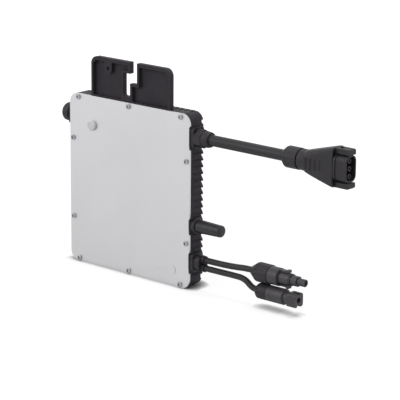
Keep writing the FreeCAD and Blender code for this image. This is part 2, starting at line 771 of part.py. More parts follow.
def make_port_screws(label, sign):
    body = new_body(label, "0", "port_depth", "outlet_rise")
    face = f"{RIGHT} + port_flange_thickness"
    shank = (f"{RIGHT} - port_screw_depth", face) if sign > 0 else (
        f"-({face})", f"{LEFT} + port_screw_depth")
    head = (face, f"{face} + port_screw_head_height") if sign > 0 else (
        f"-({face} + port_screw_head_height)", f"-({face})")
    slab(body, "shanks", "side", *shank, circles(OUTLET_SCREWS, "port_screw_radius"))
    slab(body, "heads", "side", *head, circles(OUTLET_SCREWS, "port_screw_head_radius"))
    slab(body, "cross_slots", "side",
         f"{face} + port_screw_head_height / 2" if sign > 0 else head[0],
         head[1] if sign > 0 else f"{head[0]} + port_screw_head_height / 2",
         circles(OUTLET_SCREWS, "port_screw_head_radius / 2"), cut=True)


# Alternating-current outlet along +X: nut, seal, conductors and cable share the port's axis
OUTLET_FACE = "(plate_width / 2 + port_flange_thickness)"
NUT_START = f"({OUTLET_FACE} + fit_gap)"
NUT_END = f"({NUT_START} + outlet_nut_length)"
MOUTH = f"({NUT_END} + outlet_dome_length)"
CABLE_END = f"({MOUTH} + cable_length)"


def make_outlet_nut():
    body = new_body("ac_outlet_nut", "0", "port_depth", "outlet_rise")
    slab(body, "hexagon", "side", NUT_START, NUT_END, regular(6, "outlet_nut_flats"))
    corner = "(outlet_nut_flats * 0.6)"
    flat = "(outlet_nut_flats / 2)"
    turn(body, "front_chamfer", [(NUT_START, flat), (f"{NUT_START} + nut_chamfer", corner),
                                 (NUT_START, corner)], cut=True)
    turn(body, "back_chamfer", [(NUT_END, flat), (NUT_END, corner),
                                (f"{NUT_END} - nut_chamfer", corner)], cut=True)
    turn(body, "dome", [(NUT_END, "0"), (NUT_END, "outlet_dome_start"), (MOUTH, "outlet_dome_end"),
                        (MOUTH, "0")])
    soften(body, "mouth_rounding", "(outlet_dome_end - outlet_seal_radius) * 0.8",
           round_edge("x", MOUTH, "outlet_dome_end"), chamfer=True)
    slab(body, "thread", "side", NUT_START, NUT_END, circle("outlet_spigot_radius"), cut=True)
    slab(body, "mouth", "side", NUT_END, MOUTH, circle("outlet_seal_radius"), cut=True)


def make_outlet_seal():
    body = new_body("ac_outlet_seal", "0", "port_depth", "outlet_rise")
    slab(body, "plug", "side", f"{OUTLET_FACE} + outlet_spigot_length + fit_gap", MOUTH,
         circle("outlet_seal_radius"))
    slab(body, "conductor_holes", "side", f"{OUTLET_FACE} + outlet_spigot_length + fit_gap", MOUTH,
         circles(CONDUCTORS, "conductor_radius"), cut=True)


def make_outlet_conductors():
    body = new_body("ac_outlet_conductors", "0", "port_depth", "outlet_rise")
    slab(body, "conductors", "side", "plate_width / 2 - terminal_inset", MOUTH,
         circles(CONDUCTORS, "conductor_radius"))


def make_cable():
    body = new_body("ac_cable", "0", "port_depth", "outlet_rise")
    slab(body, "jacket", "side", MOUTH, CABLE_END, circle("cable_radius"))


# Plug on the cable's far end
PLUG_BODY = f"({CABLE_END} + plug_nut_length + plug_gap)"
FLARE = f"({PLUG_BODY} + shell_neck_length)"
RIM = f"({FLARE} + shell_flare_length)"
RIM_FRONT = f"({RIM} + shell_rim_length)"
SOCKET_FACE = f"({RIM_FRONT} + socket_reach)"
CONTACT_ROW = [("0", "-socket_pitch"), ("0", "0"), ("0", "socket_pitch")]
TAPER_END = f"({CABLE_END} + plug_nut_taper)"
NECK_FIT = "(shell_neck_radius - shell_wall)"


def centred(half_width, half_height, radius):
    return rounded(f"-({half_width})", half_width, f"-({half_height})", half_height, radius)


def cut_corners(half_width, half_height, cut):
    near, far = f"({half_width}) - {cut}", f"({half_height}) - {cut}"
    return polygon([
        (f"-({near})", f"-({half_height})"), (near, f"-({half_height})"), (half_width, f"-({far})"),
        (half_width, far), (near, half_height), (f"-({near})", half_height),
        (f"-({half_width})", far), (f"-({half_width})", f"-({far})"),
    ])


def make_plug_nut():
    body = new_body("ac_plug_nut", "0", "port_depth", "outlet_rise")
    back = f"({CABLE_END} + plug_nut_length)"
    turn(body, "taper", [(CABLE_END, "0"), (CABLE_END, "plug_nut_start"),
                         (TAPER_END, "plug_nut_flats / 2"), (TAPER_END, "0")])
    slab(body, "facets", "side", TAPER_END, back, regular(12, "plug_nut_flats"))
    slab(body, "mouth", "side", CABLE_END, TAPER_END, circle("outlet_seal_radius"), cut=True)
    slab(body, "thread", "side", TAPER_END, back, circle(NECK_FIT), cut=True)


def make_plug_seal():
    body = new_body("ac_plug_seal", "0", "port_depth", "outlet_rise")
    slab(body, "seal", "side", CABLE_END, TAPER_END, circle("outlet_seal_radius"))


# The round neck flares into a tall mouth, with grip ribs on both flanks and two latch arms
def make_plug_shell():
    body = new_body("ac_plug_shell", "0", "port_depth", "outlet_rise")
    slab(body, "threaded_neck", "side", f"{TAPER_END} + fit_gap", PLUG_BODY, circle(NECK_FIT))
    slab(body, "neck", "side", PLUG_BODY, FLARE, circle("shell_neck_radius"))
    neck = cut_corners("shell_neck_radius", "shell_neck_radius", "shell_neck_radius * neck_corner_share")
    mouth = cut_corners("shell_half_width", "shell_half_height", "shell_corner * rim_corner_share")
    loft(body, "flare", "side", [(FLARE, neck), (RIM, mouth)])
    slab(body, "rim", "side", RIM, RIM_FRONT, mouth)
    grip = f"({FLARE} + grip_start - shell_neck_length)"
    reach = "(shell_half_width + grip_height)"
    rib = rectangle(f"{grip} - grip_width / 2", f"{grip} + grip_width / 2", "-grip_half_length",
                    "grip_half_length")
    ribs = slab(body, "grip", "front", f"-{reach}", reach, rib)
    repeat_along(body, "grips", ribs, "X_Axis", "grip_count", "grip_pitch")
    hollow = centred("shell_half_width - shell_wall", "shell_half_height - shell_wall * 1.3",
                     "shell_corner - shell_wall")
    slab(body, "hollow", "side", f"{RIM_FRONT} - socket_root", RIM_FRONT, hollow, cut=True)
    make_latch_arms(body)


def make_latch_arms(body):
    tip = f"({RIM_FRONT} + latch_length)"
    outer = "(shell_half_height - fit_gap)"
    inner = f"({outer} - latch_thickness)"
    window = f"({RIM_FRONT} + latch_window_start)"
    hook = f"({tip} - latch_hook_length)"
    for name, sign in (("upper", ""), ("lower", "-")):
        def band(low, high, half="latch_half_width"):
            ends = (f"{sign}({low})", f"{sign}({high})")
            return rectangle(f"-{half}", half, *(ends if sign == "" else ends[::-1]))
        slab(body, f"{name}_arm", "side", f"{RIM_FRONT} - shell_rim_length", tip, band(inner, outer))
        slab(body, f"{name}_window", "side", window, f"{window} + latch_window_length",
             band(f"{inner} - fit_gap", f"{outer} + fit_gap", "latch_window_half_width"), cut=True)
        slab(body, f"{name}_hook", "side", hook, tip, band(f"{inner} - latch_hook_height", inner))


def make_plug_insert():
    body = new_body("ac_plug_insert", "0", "port_depth", "outlet_rise")
    root = f"({RIM_FRONT} - socket_root)"
    slab(body, "block", "side", root, SOCKET_FACE,
         centred("socket_half_width", "socket_half_height", "socket_corner"))
    slab(body, "opening", "side", f"{SOCKET_FACE} - socket_depth", SOCKET_FACE,
         centred("socket_half_width - socket_wall", "socket_half_height - socket_wall",
                 "socket_corner - socket_wall"), cut=True)
    slab(body, "towers", "side", f"{SOCKET_FACE} - socket_depth", f"{SOCKET_FACE} - socket_wall",
         circles(CONTACT_ROW, "contact_tower_radius"))
    slab(body, "contact_holes", "side", f"{SOCKET_FACE} - socket_wall - contact_length",
         f"{SOCKET_FACE} - socket_wall", circles(CONTACT_ROW, "contact_radius"), cut=True)


def make_plug_contacts():
    body = new_body("ac_plug_contacts", "0", "port_depth", "outlet_rise")
    back = f"({SOCKET_FACE} - socket_wall - contact_length)"
    front = f"({SOCKET_FACE} - socket_wall - fit_gap)"
    slab(body, "tubes", "side", back, front, circles(CONTACT_ROW, "contact_radius"))
    slab(body, "bores", "side", f"{back} + fit_gap * 5", front,
         circles(CONTACT_ROW, "contact_bore_radius"), cut=True)


def make_plug_ring():
    body = new_body("ac_plug_ring", "0", "port_depth", "outlet_rise")
    ends = (RIM_FRONT, f"{RIM_FRONT} + socket_ring_length")
    slab(body, "ring", "side", *ends, centred(
        "socket_half_width + socket_ring_height", "socket_half_height + socket_ring_height",
        "socket_corner + socket_ring_height"))
    slab(body, "inside", "side", *ends,
         centred("socket_half_width", "socket_half_height", "socket_corner"), cut=True)


# Alternating-current inlet on the left wall, closed by a screwed cap
INLET_FACE = f"-{OUTLET_FACE}"
BARREL_END = f"({INLET_FACE} - inlet_spigot_length)"


def make_inlet_barrel():
    body = new_body("ac_inlet_barrel", "0", "port_depth", "outlet_rise")
    slab(body, "barrel", "side", BARREL_END, INLET_FACE, circle("inlet_spigot_radius"))
    slab(body, "well", "side", BARREL_END, f"{BARREL_END} + inlet_well_depth",
         circle("inlet_spigot_radius - cap_wall"), cut=True)
    slab(body, "pin_holes", "side", f"{BARREL_END} + inlet_well_depth", INLET_FACE,
         circles(CONDUCTORS, "inlet_pin_radius"), cut=True)


def make_inlet_pins():
    body = new_body("ac_inlet_pins", "0", "port_depth", "outlet_rise")
    slab(body, "pins", "side", f"{BARREL_END} + fit_gap * 5", f"{LEFT} + terminal_inset",
         circles(CONDUCTORS, "inlet_pin_radius"))


def make_inlet_cap():
    body = new_body("ac_inlet_cap", "0", "port_depth", "outlet_rise")
    start = f"({INLET_FACE} - port_screw_head_height - fit_gap)"
    slab(body, "cap", "side", f"{start} - cap_length", start, circle("cap_radius"))
    soften(body, "dome", "cap_round", round_edge("x", f"{start} - cap_length", "cap_radius"),
           chamfer=True)
    slab(body, "thread", "side", f"{start} - cap_length + cap_wall", start,
         circle("inlet_spigot_radius"), cut=True)


# Stub antenna: collar, stem through the wall, nut inside and the tapered rod
ANTENNA_START = "(plate_width / 2 + antenna_collar_length)"


def make_antenna_collar():
    body = new_body("antenna_collar", "0", "port_depth", "antenna_rise")
    slab(body, "collar", "side", RIGHT, ANTENNA_START, circle("antenna_collar_radius"))
    soften(body, "collar_edge", "antenna_collar_chamfer",
           round_edge("x", ANTENNA_START, "antenna_collar_radius"), chamfer=True)
    slab(body, "stem", "side", f"{RIGHT} - antenna_stem_length", RIGHT, circle("antenna_stem_radius"))


def make_antenna_nut():
    body = new_body("antenna_nut", "0", "port_depth", "antenna_rise")
    face = f"{SIDE_FACE} - wall"
    slab(body, "hexagon", "side", f"{face} - antenna_nut_length", face, regular(6, "antenna_nut_flats"))
    slab(body, "thread", "side", f"{face} - antenna_nut_length", face, circle("antenna_stem_radius"),
         cut=True)


def make_antenna_rod():
    body = new_body("antenna_rod", "0", "port_depth", "antenna_rise")
    tip = "(plate_width / 2 + antenna_reach)"
    turn(body, "rod", [(ANTENNA_START, "0"), (ANTENNA_START, "antenna_base_radius"),
                       (tip, "antenna_tip_radius"), (tip, "0")])
    soften(body, "tip_rounding", "antenna_round", round_edge("x", tip, "antenna_tip_radius"),
           chamfer=True)


def make_antenna_lead():
    body = new_body("antenna_lead", "0", "port_depth", "antenna_rise")
    slab(body, "lead", "side", "plate_width / 2 - terminal_inset", f"{RIGHT} - antenna_stem_length",
         circle("antenna_lead_radius"))


# Gland for the two panel leads: flange, outer body with two collars, and the cores inside
GLAND_FACE = OUTLET_FACE
GLAND_BACK = f"({GLAND_FACE} + gland_body_length)"
LEAD_START = f"({GLAND_BACK} + gland_collar_length)"


def make_gland_flange():
    body = new_body("dc_gland_flange", "0", "port_depth", "gland_rise")
    slab(body, "plate", "side", RIGHT, GLAND_FACE,
         centred("port_flange_width / 2", "gland_flange_height / 2", "port_flange_corner"))
    inside = f"{RIGHT} - (rib_height + wall + sleeve_reach)"
    slab(body, "sleeves", "side", inside, RIGHT, circles(LEAD_PLACES, "lead_hole_radius"))
    slab(body, "bores", "side", inside, GLAND_FACE, circles(LEAD_PLACES, "lead_core_radius"), cut=True)


def make_gland_body():
    body = new_body("dc_gland_body", "0", "port_depth", "gland_rise")
    slab(body, "block", "side", GLAND_FACE, GLAND_BACK,
         centred("gland_body_width / 2", "gland_body_height / 2", "gland_body_corner"))
    slab(body, "collars", "side", GLAND_BACK, LEAD_START, circles(LEAD_PLACES, "gland_collar_radius"))
    slab(body, "bores", "side", GLAND_FACE, LEAD_START, circles(LEAD_PLACES, "lead_core_radius"),
         cut=True)


def make_lead_cores():
    body = new_body("dc_lead_cores", "0", "port_depth", "gland_rise")
    slab(body, "cores", "side", "plate_width / 2 - terminal_inset", LEAD_START,
         circles(LEAD_PLACES, "lead_core_radius"))


# Routes of the two panel leads, chosen by hand from the photograph, from gland to connector
UPPER_ROUTE = [(93.2, 9.0, 31.025), (112.0, 9.0, 31.025), (132.0, 9.5, 31.9), (142.0, 10.0, 33.0),
               (151.0, 10.0, 33.0)]
LOWER_ROUTE = [(93.2, 9.0, 22.975), (111.0, 9.0, 22.975), (127.0, 9.0, 23.25), (143.0, 8.9, 23.0),
               (153.0, 8.0, 15.6), (159.0, 8.0, 15.6)]
ROUND_SHARE = 0.45


def make_lead(label, route, radius):
    points = [FreeCAD.Vector(*point) for point in route]
    edges = []
    start = points[0]
    for before, corner, after in zip(points, points[1:], points[2:]):
        inward, outward = (corner - before).normalize(), (after - corner).normalize()
        trim = ROUND_SHARE * min((corner - before).Length, (after - corner).Length)
        half_turn = inward.getAngle(outward) / 2
        arc_start, arc_end = corner - inward * trim, corner + outward * trim
        bend = trim / math.tan(half_turn)
        sag = bend / math.cos(half_turn) - bend
        middle = corner + (outward - inward).normalize() * sag
        edges += [Part.LineSegment(start, arc_start).toShape(), Part.Arc(arc_start, middle, arc_end).toShape()]
        print(f"{label}: bend radius {bend:.1f} at x {corner.x:.0f}")
        start = arc_end
    edges.append(Part.LineSegment(start, points[-1]).toShape())
    path = Part.Wire(edges)
    ring = Part.Wire([Part.Circle(points[0], points[1] - points[0], radius).toShape()])
    tube = path.makePipeShell([ring], True, False)
    ideal = math.pi * radius ** 2 * path.Length
    print(f"{label}: length {path.Length:.1f}, volume {tube.Volume:.1f} of {ideal:.1f}")
    feature = doc.addObject("Part::Feature", label)
    feature.Label = label
    feature.Shape = tube
    feature.Placement = FreeCAD.Placement(FreeCAD.Vector(0, -number("port_depth"), 0),
                                          FreeCAD.Rotation())
    nodes.append(feature)


# Panel connector with the pin: boot and fluted nut, stepped body with two snap prongs
PIN_NUT = "(pin_boot_start + pin_boot_length)"
PIN_BODY = f"({PIN_NUT} + pin_nut_length)"
PIN_NECK = f"({PIN_BODY} + pin_body_length)"
PIN_BARREL = f"({PIN_NECK} + pin_neck_length)"
PIN_TIP = f"({PIN_BARREL} + pin_barrel_length)"
PIN_END = f"({PIN_TIP} + pin_tip_length)"


def flute(body, start, end, radius):
    cut = slab(body, "flute", "side", start, end, circles([("0", f"{radius} + flute_radius / 2")],
                                                          "flute_radius"), cut=True)
    repeat_around(body, "flutes", cut, "X_Axis", "flute_count", cut=True)


def make_pin_nut():
    body = new_body("pv_male_nut", "0", "pin_depth", "pin_rise")
    spigot = "(pin_nut_radius * 0.7)"
    turn(body, "nut", [("pin_boot_start", "0"), ("pin_boot_start", "gland_collar_radius"),
                       (f"{PIN_NUT} - fit_gap * 5", "pin_nut_radius * 0.92"), (PIN_NUT, "pin_nut_radius"),
                       (PIN_BODY, "pin_nut_radius"), (PIN_BODY, "0")])
    slab(body, "thread", "side", PIN_NUT, PIN_BODY, circle(spigot), cut=True)
    flute(body, PIN_NUT, f"{PIN_BODY} - fit_gap * 8", "pin_nut_radius")


def make_pin_body():
    body = new_body("pv_male_body", "0", "pin_depth", "pin_rise")
    spigot = "(pin_nut_radius * 0.7)"
    turn(body, "stepped_body", [
        (f"{PIN_NUT} + fit_gap", "0"), (f"{PIN_NUT} + fit_gap", spigot), (PIN_BODY, spigot),
        (PIN_BODY, "pin_body_radius"), (f"{PIN_NECK} - fit_gap * 4", "pin_body_radius"),
        (PIN_NECK, "pin_body_radius - fit_gap * 4"), (PIN_NECK, "pin_neck_radius"),
        (PIN_BARREL, "pin_neck_radius"), (PIN_BARREL, "pin_barrel_radius"),
        (PIN_TIP, "pin_barrel_radius"), (PIN_TIP, "pin_tip_radius"), (PIN_END, "pin_tip_radius"),
        (PIN_END, "0"),
    ])
    slab(body, "bore", "side", PIN_BARREL, PIN_END, circle("pin_bore_radius"), cut=True)
    half = "prong_width / 2"
    top = "(pin_body_radius - fit_gap * 4)"
    for name, sign in (("upper", ""), ("lower", "-")):
        def band(low, high):
            ends = (f"{sign}({low})", f"{sign}({high})")
            return rectangle(f"-{half}", half, *(ends if sign == "" else ends[::-1]))
        slab(body, f"{name}_prong", "side", PIN_NECK, f"{PIN_NECK} + prong_length",
             band(f"{top} - prong_thickness", top))
        slab(body, f"{name}_hook", "side", f"{PIN_NECK} + prong_length * 0.7",
             f"{PIN_NECK} + prong_length", band(top, f"{top} + prong_hook"))


def make_pin_contact():
    body = new_body("pv_male_contact", "0", "pin_depth", "pin_rise")
    slab(body, "pin", "side", PIN_BARREL, f"{PIN_END} - fit_gap * 5", circle("pin_contact_radius"))
    slab(body, "collar", "side", PIN_BARREL, f"{PIN_BARREL} + fit_gap * 5", circle("pin_bore_radius"))


def make_pin_seal():
    body = new_body("pv_male_seal", "0", "pin_depth", "pin_rise")
    ends = (PIN_BARREL, f"{PIN_BARREL} + fit_gap * 10")
    slab(body, "ring", "side", *ends, circle("pin_neck_radius - fit_gap"))
    slab(body, "inside", "side", *ends, circle("pin_barrel_radius"), cut=True)


# Panel connector with the sleeve
SLEEVE_BODY = "(sleeve_boot_start + sleeve_nut_length)"
SLEEVE_BARREL = f"({SLEEVE_BODY} + sleeve_body_length)"
SLEEVE_HEAD = f"({SLEEVE_BARREL} + sleeve_neck_length)"
SLEEVE_END = f"({SLEEVE_BARREL} + sleeve_barrel_length)"


def make_sleeve_nut():
    body = new_body("pv_female_nut", "0", "sleeve_depth", "sleeve_rise")
    turn(body, "nut", [("sleeve_boot_start", "0"), ("sleeve_boot_start", "gland_collar_radius * 1.2"),
                       ("sleeve_boot_start + gland_collar_length", "sleeve_nut_radius"),
                       (SLEEVE_BODY, "sleeve_nut_radius"), (SLEEVE_BODY, "0")])
    slab(body, "thread", "side", "sleeve_boot_start + gland_collar_length", SLEEVE_BODY,
         circle("sleeve_nut_radius * 0.7"), cut=True)
    flute(body, "sleeve_boot_start + gland_collar_length", f"{SLEEVE_BODY} - fit_gap * 8",
          "sleeve_nut_radius")


def make_sleeve_body():
    body = new_body("pv_female_body", "0", "sleeve_depth", "sleeve_rise")
    rear = "(sleeve_boot_start + gland_collar_length + fit_gap)"
    turn(body, "stepped_body", [
        (rear, "0"), (rear, "sleeve_nut_radius * 0.7"), (SLEEVE_BODY, "sleeve_nut_radius * 0.7"),
        (SLEEVE_BODY, "sleeve_nut_radius"), (f"{SLEEVE_BARREL} - body_chamfer", "sleeve_nut_radius"),
        (SLEEVE_BARREL, "sleeve_nut_radius - body_chamfer"), (SLEEVE_BARREL, "sleeve_neck_radius"),
        (SLEEVE_HEAD, "sleeve_neck_radius"), (SLEEVE_HEAD, "0"),
    ])
    slab(body, "head", "side", SLEEVE_HEAD, SLEEVE_END,
         centred("sleeve_head_half", "sleeve_head_half", "sleeve_head_corner"))
    slab(body, "bore", "side", SLEEVE_BARREL, SLEEVE_END, circle("sleeve_bore_radius"), cut=True)
    half = "sleeve_slot_width / 2"
    for index, sign in enumerate(("", "-")):
        low, high = f"{sign}(sleeve_head_half - sleeve_slot_depth)", f"{sign}sleeve_head_half"
        slot = rectangle(f"-{half}", half, *((low, high) if sign == "" else (high, low)))
        slab(body, f"slot_{index}", "side", f"{SLEEVE_END} - sleeve_slot_length", SLEEVE_END, slot,
             cut=True)


def make_sleeve_contact():
    body = new_body("pv_female_contact", "0", "sleeve_depth", "sleeve_rise")
    slab(body, "tube", "side", SLEEVE_BARREL, f"{SLEEVE_END} - fit_gap * 10",
         circle("sleeve_contact_radius"))
    slab(body, "tube_bore", "side", f"{SLEEVE_BARREL} + fit_gap * 5", f"{SLEEVE_END} - fit_gap * 10",
         circle("sleeve_contact_radius * 0.7"), cut=True)


# Circuit board on four bosses, with its screws and the parts that it carries on its back face
def make_circuit_board():
    body = new_body("circuit_board")
    slab(body, "laminate", "front", "board_front", BOARD_BACK,
         rounded(f"{LEFT} + board_inset", f"{RIGHT} - board_inset", "board_inset",
                 "plate_height - board_inset", "board_corner"))
    slab(body, "screw_holes", "front", "board_front", BOARD_BACK,
         circles(board_holes, "board_screw_radius + fit_gap"), cut=True)


def make_board_screws():
    body = new_body("board_screws")
    slab(body, "shanks", "front", "board_front", f"{BOARD_BACK} + board_screw_depth",
         circles(board_holes, "board_screw_radius"))
    slab(body, "heads", "front", "board_front - board_screw_head_height", "board_front",
         circles(board_holes, "board_screw_head_radius"))


# A block on the board's back face, given by its middle, sizes and height above the board
def board_blocks(label, places, width, height, depth):
    body = new_body(label)
    for index, (across, up) in enumerate(places):
        block = rectangle(f"{across} - {width} / 2", f"{across} + {width} / 2",
                          f"{up} - {height} / 2", f"{up} + {height} / 2")
        slab(body, f"block_{index}", "front", BOARD_BACK, f"{BOARD_BACK} + {depth}", block)
    return body


def make_transformer():
    core = new_body("transformer_core", "core_across", "0", "core_up")
    front = f"({BOARD_BACK} + core_front)"
    back = f"({front} + core_thickness)"
    window_out = "(core_width / 2 - core_limb)"
    window_up = "(core_height / 2 - core_limb)"
    slab(core, "yoke", "front", front, back,
         rectangle("-core_width / 2", "core_width / 2", "-core_height / 2", "core_height / 2"))
    slab(core, "right_window", "front", front, back,
         rectangle("core_leg / 2", window_out, f"-{window_up}", window_up), cut=True)
    slab(core, "left_window", "front", front, back,
         rectangle(f"-{window_out}", "-core_leg / 2", f"-{window_up}", window_up), cut=True)
    winding = new_body("transformer_winding", "core_across", "0", "core_up")
    low, high = f"-({window_up} - winding_gap)", f"{window_up} - winding_gap"
    slab(winding, "coil", "level", low, high,
         rounded(f"-({window_out} - winding_gap)", f"{window_out} - winding_gap", BOARD_BACK,
                 f"{BOARD_BACK} + winding_depth", "core_front / 2"))
    slab(winding, "leg_hole", "level", low, high,
         rectangle("-core_leg / 2", "core_leg / 2", front, back), cut=True)


def make_input_capacitors():
    body = new_body("input_capacitors", "input_capacitor_across", "0", "input_capacitor_up")
    half = "input_capacitor_pitch / 2"
    places = [(f"{a}{half}", f"{b}{half}") for a in ("-", "") for b in ("-", "")]
    top = f"{BOARD_BACK} + input_capacitor_height"
    slab(body, "cans", "front", BOARD_BACK, top, circles(places, "input_capacitor_radius"))
    soften(body, "can_rims", "winding_gap * 2", round_edge("y", top, "input_capacitor_radius"),
           chamfer=True)


def make_output_choke():
    body = new_body("output_choke", "choke_across", "0", "choke_up")
    top = f"{BOARD_BACK} + choke_height"
    slab(body, "ring", "front", BOARD_BACK, top, circle("choke_radius"))
    slab(body, "ring_hole", "front", BOARD_BACK, top, circle("choke_bore"), cut=True)
    soften(body, "ring_edge", "core_front", round_edge("y", top, "choke_radius"), chamfer=True)


def make_terminal_blocks():
    middle = "(plate_width / 2 - terminal_inset - terminal_length / 2)"
    board_blocks("terminal_blocks", [(middle, "outlet_rise"), (f"-{middle}", "outlet_rise"),
                                     (middle, "gland_rise")],
                 "terminal_length", "terminal_height", "terminal_rise")


def make_power_transistors():
    places = [("transistor_across", f"transistor_up + {index} * transistor_pitch")
              for index in range(int(number("transistor_count")))]
    board_blocks("power_transistors", places, "transistor_width", "transistor_height",
                 "transistor_depth")
    pads = new_body("thermal_pads")
    for index, (across, up) in enumerate(places):
        pad = rectangle(f"{across} - transistor_width / 2", f"{across} + transistor_width / 2",
                        f"{up} - transistor_height / 2", f"{up} + transistor_height / 2")
        slab(pads, f"pad_{index}", "front", f"{BOARD_BACK} + transistor_depth", "fin_root_depth - wall",
             pad)


def make_board_parts():
    board_blocks("film_capacitor", [("film_capacitor_across", "film_capacitor_up")],
                 "film_capacitor_width", "film_capacitor_height", "film_capacitor_depth")
    board_blocks("relays", [("relay_across", "relay_up"), ("relay_across + relay_pitch", "relay_up")],
                 "relay_width", "relay_height", "relay_depth")
    board_blocks("radio_module",
                 [("plate_width / 2 - terminal_inset - radio_width / 2", "antenna_rise")],
                 "radio_width", "radio_height", "radio_depth")


def make_everything():
    make_heatsink_housing()
    make_cover_plate()
    make_cover_gasket()
    make_cover_screws()
    make_vent_plug()
    make_port_flange("ac_outlet_flange", 1)
    make_port_screws("ac_outlet_screws", 1)
    make_outlet_nut()
    make_outlet_seal()
    make_outlet_conductors()
    make_cable()
    make_plug_nut()
    make_plug_seal()
    make_plug_shell()
    make_plug_insert()
    make_plug_contacts()
    make_plug_ring()
    make_port_flange("ac_inlet_flange", -1)
    make_port_screws("ac_inlet_screws", -1)
    make_inlet_barrel()
    make_inlet_pins()
    make_inlet_cap()
    make_antenna_collar()
    make_antenna_nut()
    make_antenna_rod()
    make_antenna_lead()
    make_gland_flange()
    make_gland_body()
    make_lead_cores()
    make_lead("dc_lead_positive", UPPER_ROUTE, number("lead_radius"))
    make_lead("dc_lead_negative", LOWER_ROUTE, number("lead_radius"))
    make_pin_nut()
    make_pin_body()
    make_pin_contact()
    make_pin_seal()
    make_sleeve_nut()
    make_sleeve_body()
    make_sleeve_contact()
    make_circuit_board()
    make_board_screws()
    make_transformer()
    make_input_capacitors()
    make_output_choke()
    make_terminal_blocks()
    make_power_transistors()
    make_board_parts()


make_everything()
doc.recompute()
for item in doc.Objects:
    if {"Invalid", "Error"} & set(item.State):
        raise RuntimeError(f"{item.Label}: {item.State}")
for node in nodes:
    if node.Shape.isNull() or not node.Shape.isValid():
        raise RuntimeError(f"{node.Label}: no valid shape")

os.makedirs("parts", exist_ok=True)
for node in nodes:
    node.Shape.exportStep(f"parts/{node.Label}.step")
    print(f"{node.Label}: {len(node.Shape.Solids)} solids, volume {node.Shape.Volume:.0f}")
print(f"{len(nodes)} nodes")
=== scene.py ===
import math

import bmesh
import bpy
import numpy as np
from mathutils import Matrix, Vector

import json


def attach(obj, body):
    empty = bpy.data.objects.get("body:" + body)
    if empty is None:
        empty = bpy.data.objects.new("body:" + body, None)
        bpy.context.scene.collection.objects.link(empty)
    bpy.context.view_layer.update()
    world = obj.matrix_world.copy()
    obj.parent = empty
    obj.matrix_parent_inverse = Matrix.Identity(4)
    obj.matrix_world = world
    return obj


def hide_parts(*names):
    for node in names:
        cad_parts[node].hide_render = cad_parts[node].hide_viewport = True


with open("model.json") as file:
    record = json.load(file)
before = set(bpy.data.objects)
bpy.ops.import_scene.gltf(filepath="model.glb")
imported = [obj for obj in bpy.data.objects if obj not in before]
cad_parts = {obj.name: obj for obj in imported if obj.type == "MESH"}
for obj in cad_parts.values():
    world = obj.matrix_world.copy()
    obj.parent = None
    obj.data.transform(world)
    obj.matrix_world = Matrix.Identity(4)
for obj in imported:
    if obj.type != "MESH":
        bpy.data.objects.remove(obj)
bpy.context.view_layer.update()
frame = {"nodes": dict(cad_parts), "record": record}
mm = 0.001
print("stage: frame loaded,", len(frame["nodes"]), "nodes")

# Camera of the photograph: places in millimetres, angles in degrees
view = {"target": (93.1, -9.0, 93.1), "distance": 1930.0, "azimuth": 40.97, "elevation": 15.0,
        "roll": 0.43, "lens": 181.9, "sensor": 36}


def makeCamera():
    azimuth, elevation = math.radians(view["azimuth"]), math.radians(view["elevation"])
    outward = Vector((math.sin(azimuth) * math.cos(elevation),
                      -math.cos(azimuth) * math.cos(elevation), math.sin(elevation)))
    lens = bpy.data.cameras.new("photoCamera")
    lens.lens = view["lens"]
    lens.sensor_width = view["sensor"]
    camera = bpy.data.objects.new("photoCamera", lens)
    turned = (-outward).to_track_quat("-Z", "Y").to_matrix().to_4x4()
    roll = Matrix.Rotation(math.radians(view["roll"]), 4, "Z")
    stand = Vector(view["target"]) * mm + outward * view["distance"] * mm
    camera.matrix_world = Matrix.Translation(stand) @ turned @ roll
    bpy.context.scene.collection.objects.link(camera)
    bpy.context.scene.camera = camera


makeCamera()
print("stage: camera")


# sRGB hex to the linear values that a shader takes: c / 12.92 up to 0.04045, and
# ((c + 0.055) / 1.055)^2.4 above it
def linearColour(text):
    srgb = np.array([int(text[start:start + 2], 16) for start in (1, 3, 5)]) / 255
    linear = np.where(srgb <= 0.04045, srgb / 12.92, ((srgb + 0.055) / 1.055) ** 2.4)
    return (*linear.tolist(), 1.0)


# One node: settings go to its properties or else its sockets, links come from other sockets
def addNode(tree, kind, settings, links):
    node = tree.nodes.new("ShaderNode" + kind)
    for key, value in settings.items():
        if isinstance(key, str) and hasattr(node, key):
            setattr(node, key, value)
        else:
            node.inputs[key].default_value = value
    for key, source in links.items():
        tree.links.new(source, node.inputs[key])
    return node


# A noise of scale 1000 / size has features of that size in mm. Its values lie mostly between low and
# high, so a ramp between those two uses its full range.
noise = {"perMetre": 1000, "toneLow": 0.32, "toneHigh": 0.68, "glossLow": 0.3, "glossHigh": 0.7,
         "cloudsPerPatch": 3, "patchDetail": 4, "cloudDetail": 3, "grainDetail": 2}


